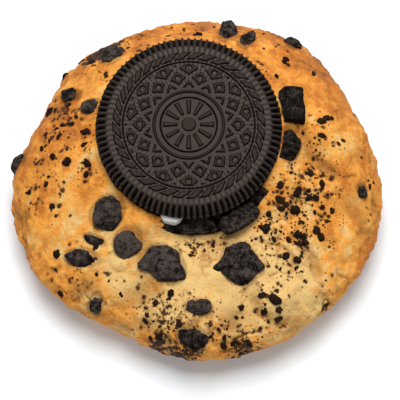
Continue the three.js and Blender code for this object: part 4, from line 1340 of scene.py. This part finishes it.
class COOKIE_OT_dough(bpy.types.Operator):
    """Make the baked dough with the crumbs and specks on it"""
    bl_idname = "cookie.make_dough"
    bl_label = "Dough and crumbs"

    def execute(self, context):
        dough = context.scene.cookie_dough
        form = DoughForm(context.scene)
        crumbs, specks = crumb_list(form), speck_places(form, dough.specks, 1, SPECK_SIZE)
        make_dough(form, crumbs, specks, baked_finish(dough))
        finish = crumb_finish(context.scene.cookie_crumb)
        make_large_crumbs(form, crumbs, dough.specks, finish)
        make_fine_specks(form, specks, dough.specks, finish)
        return {"FINISHED"}


class COOKIE_OT_wafer(bpy.types.Operator):
    """Make the upper wafer: its pressed face and its ridged edge"""
    bl_idname = "cookie.make_wafer"
    bl_label = "Upper wafer"

    def execute(self, context):
        form = DoughForm(context.scene)
        finish = pressed_finish(context.scene.cookie_biscuit)
        make_face(form, finish)
        make_edge(form, finish)
        return {"FINISHED"}


class COOKIE_OT_filling(bpy.types.Operator):
    """Make the cream, the lower wafer and the shard broken off it"""
    bl_idname = "cookie.make_filling"
    bl_label = "Cream, lower wafer and shard"

    def execute(self, context):
        form = DoughForm(context.scene)
        broken = broken_finish(context.scene.cookie_crumb)
        make_cream(form, cream_finish(context.scene.cookie_biscuit))
        make_lower_wafer(form, broken)
        make_shard(form, broken)
        return {"FINISHED"}


class COOKIE_OT_chunks(bpy.types.Operator):
    """Make the broken biscuit pieces that are set in the dough"""
    bl_idname = "cookie.make_chunks"
    bl_label = "Broken pieces"

    def execute(self, context):
        form = DoughForm(context.scene)
        broken = broken_finish(context.scene.cookie_crumb)
        for index, chunk in enumerate(CHUNKS):
            make_chunk(form, index, chunk, broken)
        return {"FINISHED"}


class COOKIE_OT_stage(bpy.types.Operator):
    """Make the floor, the light and the camera"""
    bl_idname = "cookie.make_stage"
    bl_label = "Stage"

    def execute(self, context):
        scene, stage = context.scene, context.scene.cookie_stage
        side = stage.floor_half
        corners = np.array([(-side, -side, 0), (side, -side, 0), (side, side, 0), (-side, side, 0)])
        put_mesh("floor", corners, np.array([[0, 1, 2, 3]]), finish=floor_finish(stage))

        scene.world = bpy.data.worlds.new("studio")
        scene.world.use_nodes = True
        scene.world.node_tree.nodes["Background"].inputs["Strength"].default_value = stage.sky
        scene.world.node_tree.nodes["Background"].inputs["Color"].default_value = (1, 1, 1, 1)
        aim = Vector(stage.aim)
        for name, power, size, place in (
                ("key", stage.key_power, stage.key_size, stage.key_place),
                ("fill", stage.fill_power, stage.key_size, stage.fill_place)):
            lamp = bpy.data.lights.new(name, "AREA")
            lamp.energy, lamp.size = power, size
            stand_at(lamp, name, Vector(place), aim)

        lens = bpy.data.cameras.new("camera")
        lens.lens, lens.sensor_width = stage.lens, 36
        lens.clip_start, lens.clip_end = 0.01, 10
        back = Vector((0, -math.cos(stage.elevation), math.sin(stage.elevation)))
        scene.camera = stand_at(lens, "camera", aim + back * stage.distance, aim)
        scene.view_settings.view_transform = "Standard"
        return {"FINISHED"}


def stand_at(data, name, place, aim):
    """Puts a light or camera at a place, facing its aim."""
    thing = bpy.data.objects.new(name, data)
    thing.location = place
    thing.rotation_euler = (aim - place).to_track_quat("-Z", "Y").to_euler()
    bpy.context.scene.collection.objects.link(thing)
    return thing


class COOKIE_PT_panel(bpy.types.Panel):
    """The cookie's settings and its pieces"""
    bl_label = "Stuffed cookie"
    bl_space_type = "VIEW_3D"
    bl_region_type = "UI"
    bl_category = "Cookie"

    def draw(self, context):
        for group, kind in GROUPS.items():
            box = self.layout.box()
            for setting in kind.__annotations__:
                box.prop(getattr(context.scene, group), setting)
        for operator in OPERATORS:
            self.layout.operator(operator.bl_idname)


GROUPS = {
    "cookie_dough": CookieDough, "cookie_biscuit": CookieBiscuit,
    "cookie_crumb": CookieCrumb, "cookie_stage": CookieStage,
}
OPERATORS = (COOKIE_OT_dough, COOKIE_OT_wafer, COOKIE_OT_filling, COOKIE_OT_chunks, COOKIE_OT_stage)


def register():
    for group, kind in GROUPS.items():
        bpy.utils.register_class(kind)
        setattr(bpy.types.Scene, group, PointerProperty(type=kind))
    for kind in (*OPERATORS, COOKIE_PT_panel):
        bpy.utils.register_class(kind)


def unregister():
    for kind in (COOKIE_PT_panel, *reversed(OPERATORS)):
        bpy.utils.unregister_class(kind)
    for group, kind in GROUPS.items():
        delattr(bpy.types.Scene, group)
        bpy.utils.unregister_class(kind)


def main():
    register()
    bpy.ops.cookie.make_dough()
    bpy.ops.cookie.make_wafer()
    bpy.ops.cookie.make_filling()
    bpy.ops.cookie.make_chunks()
    bpy.ops.cookie.make_stage()


if __name__ == "__main__":
    main()
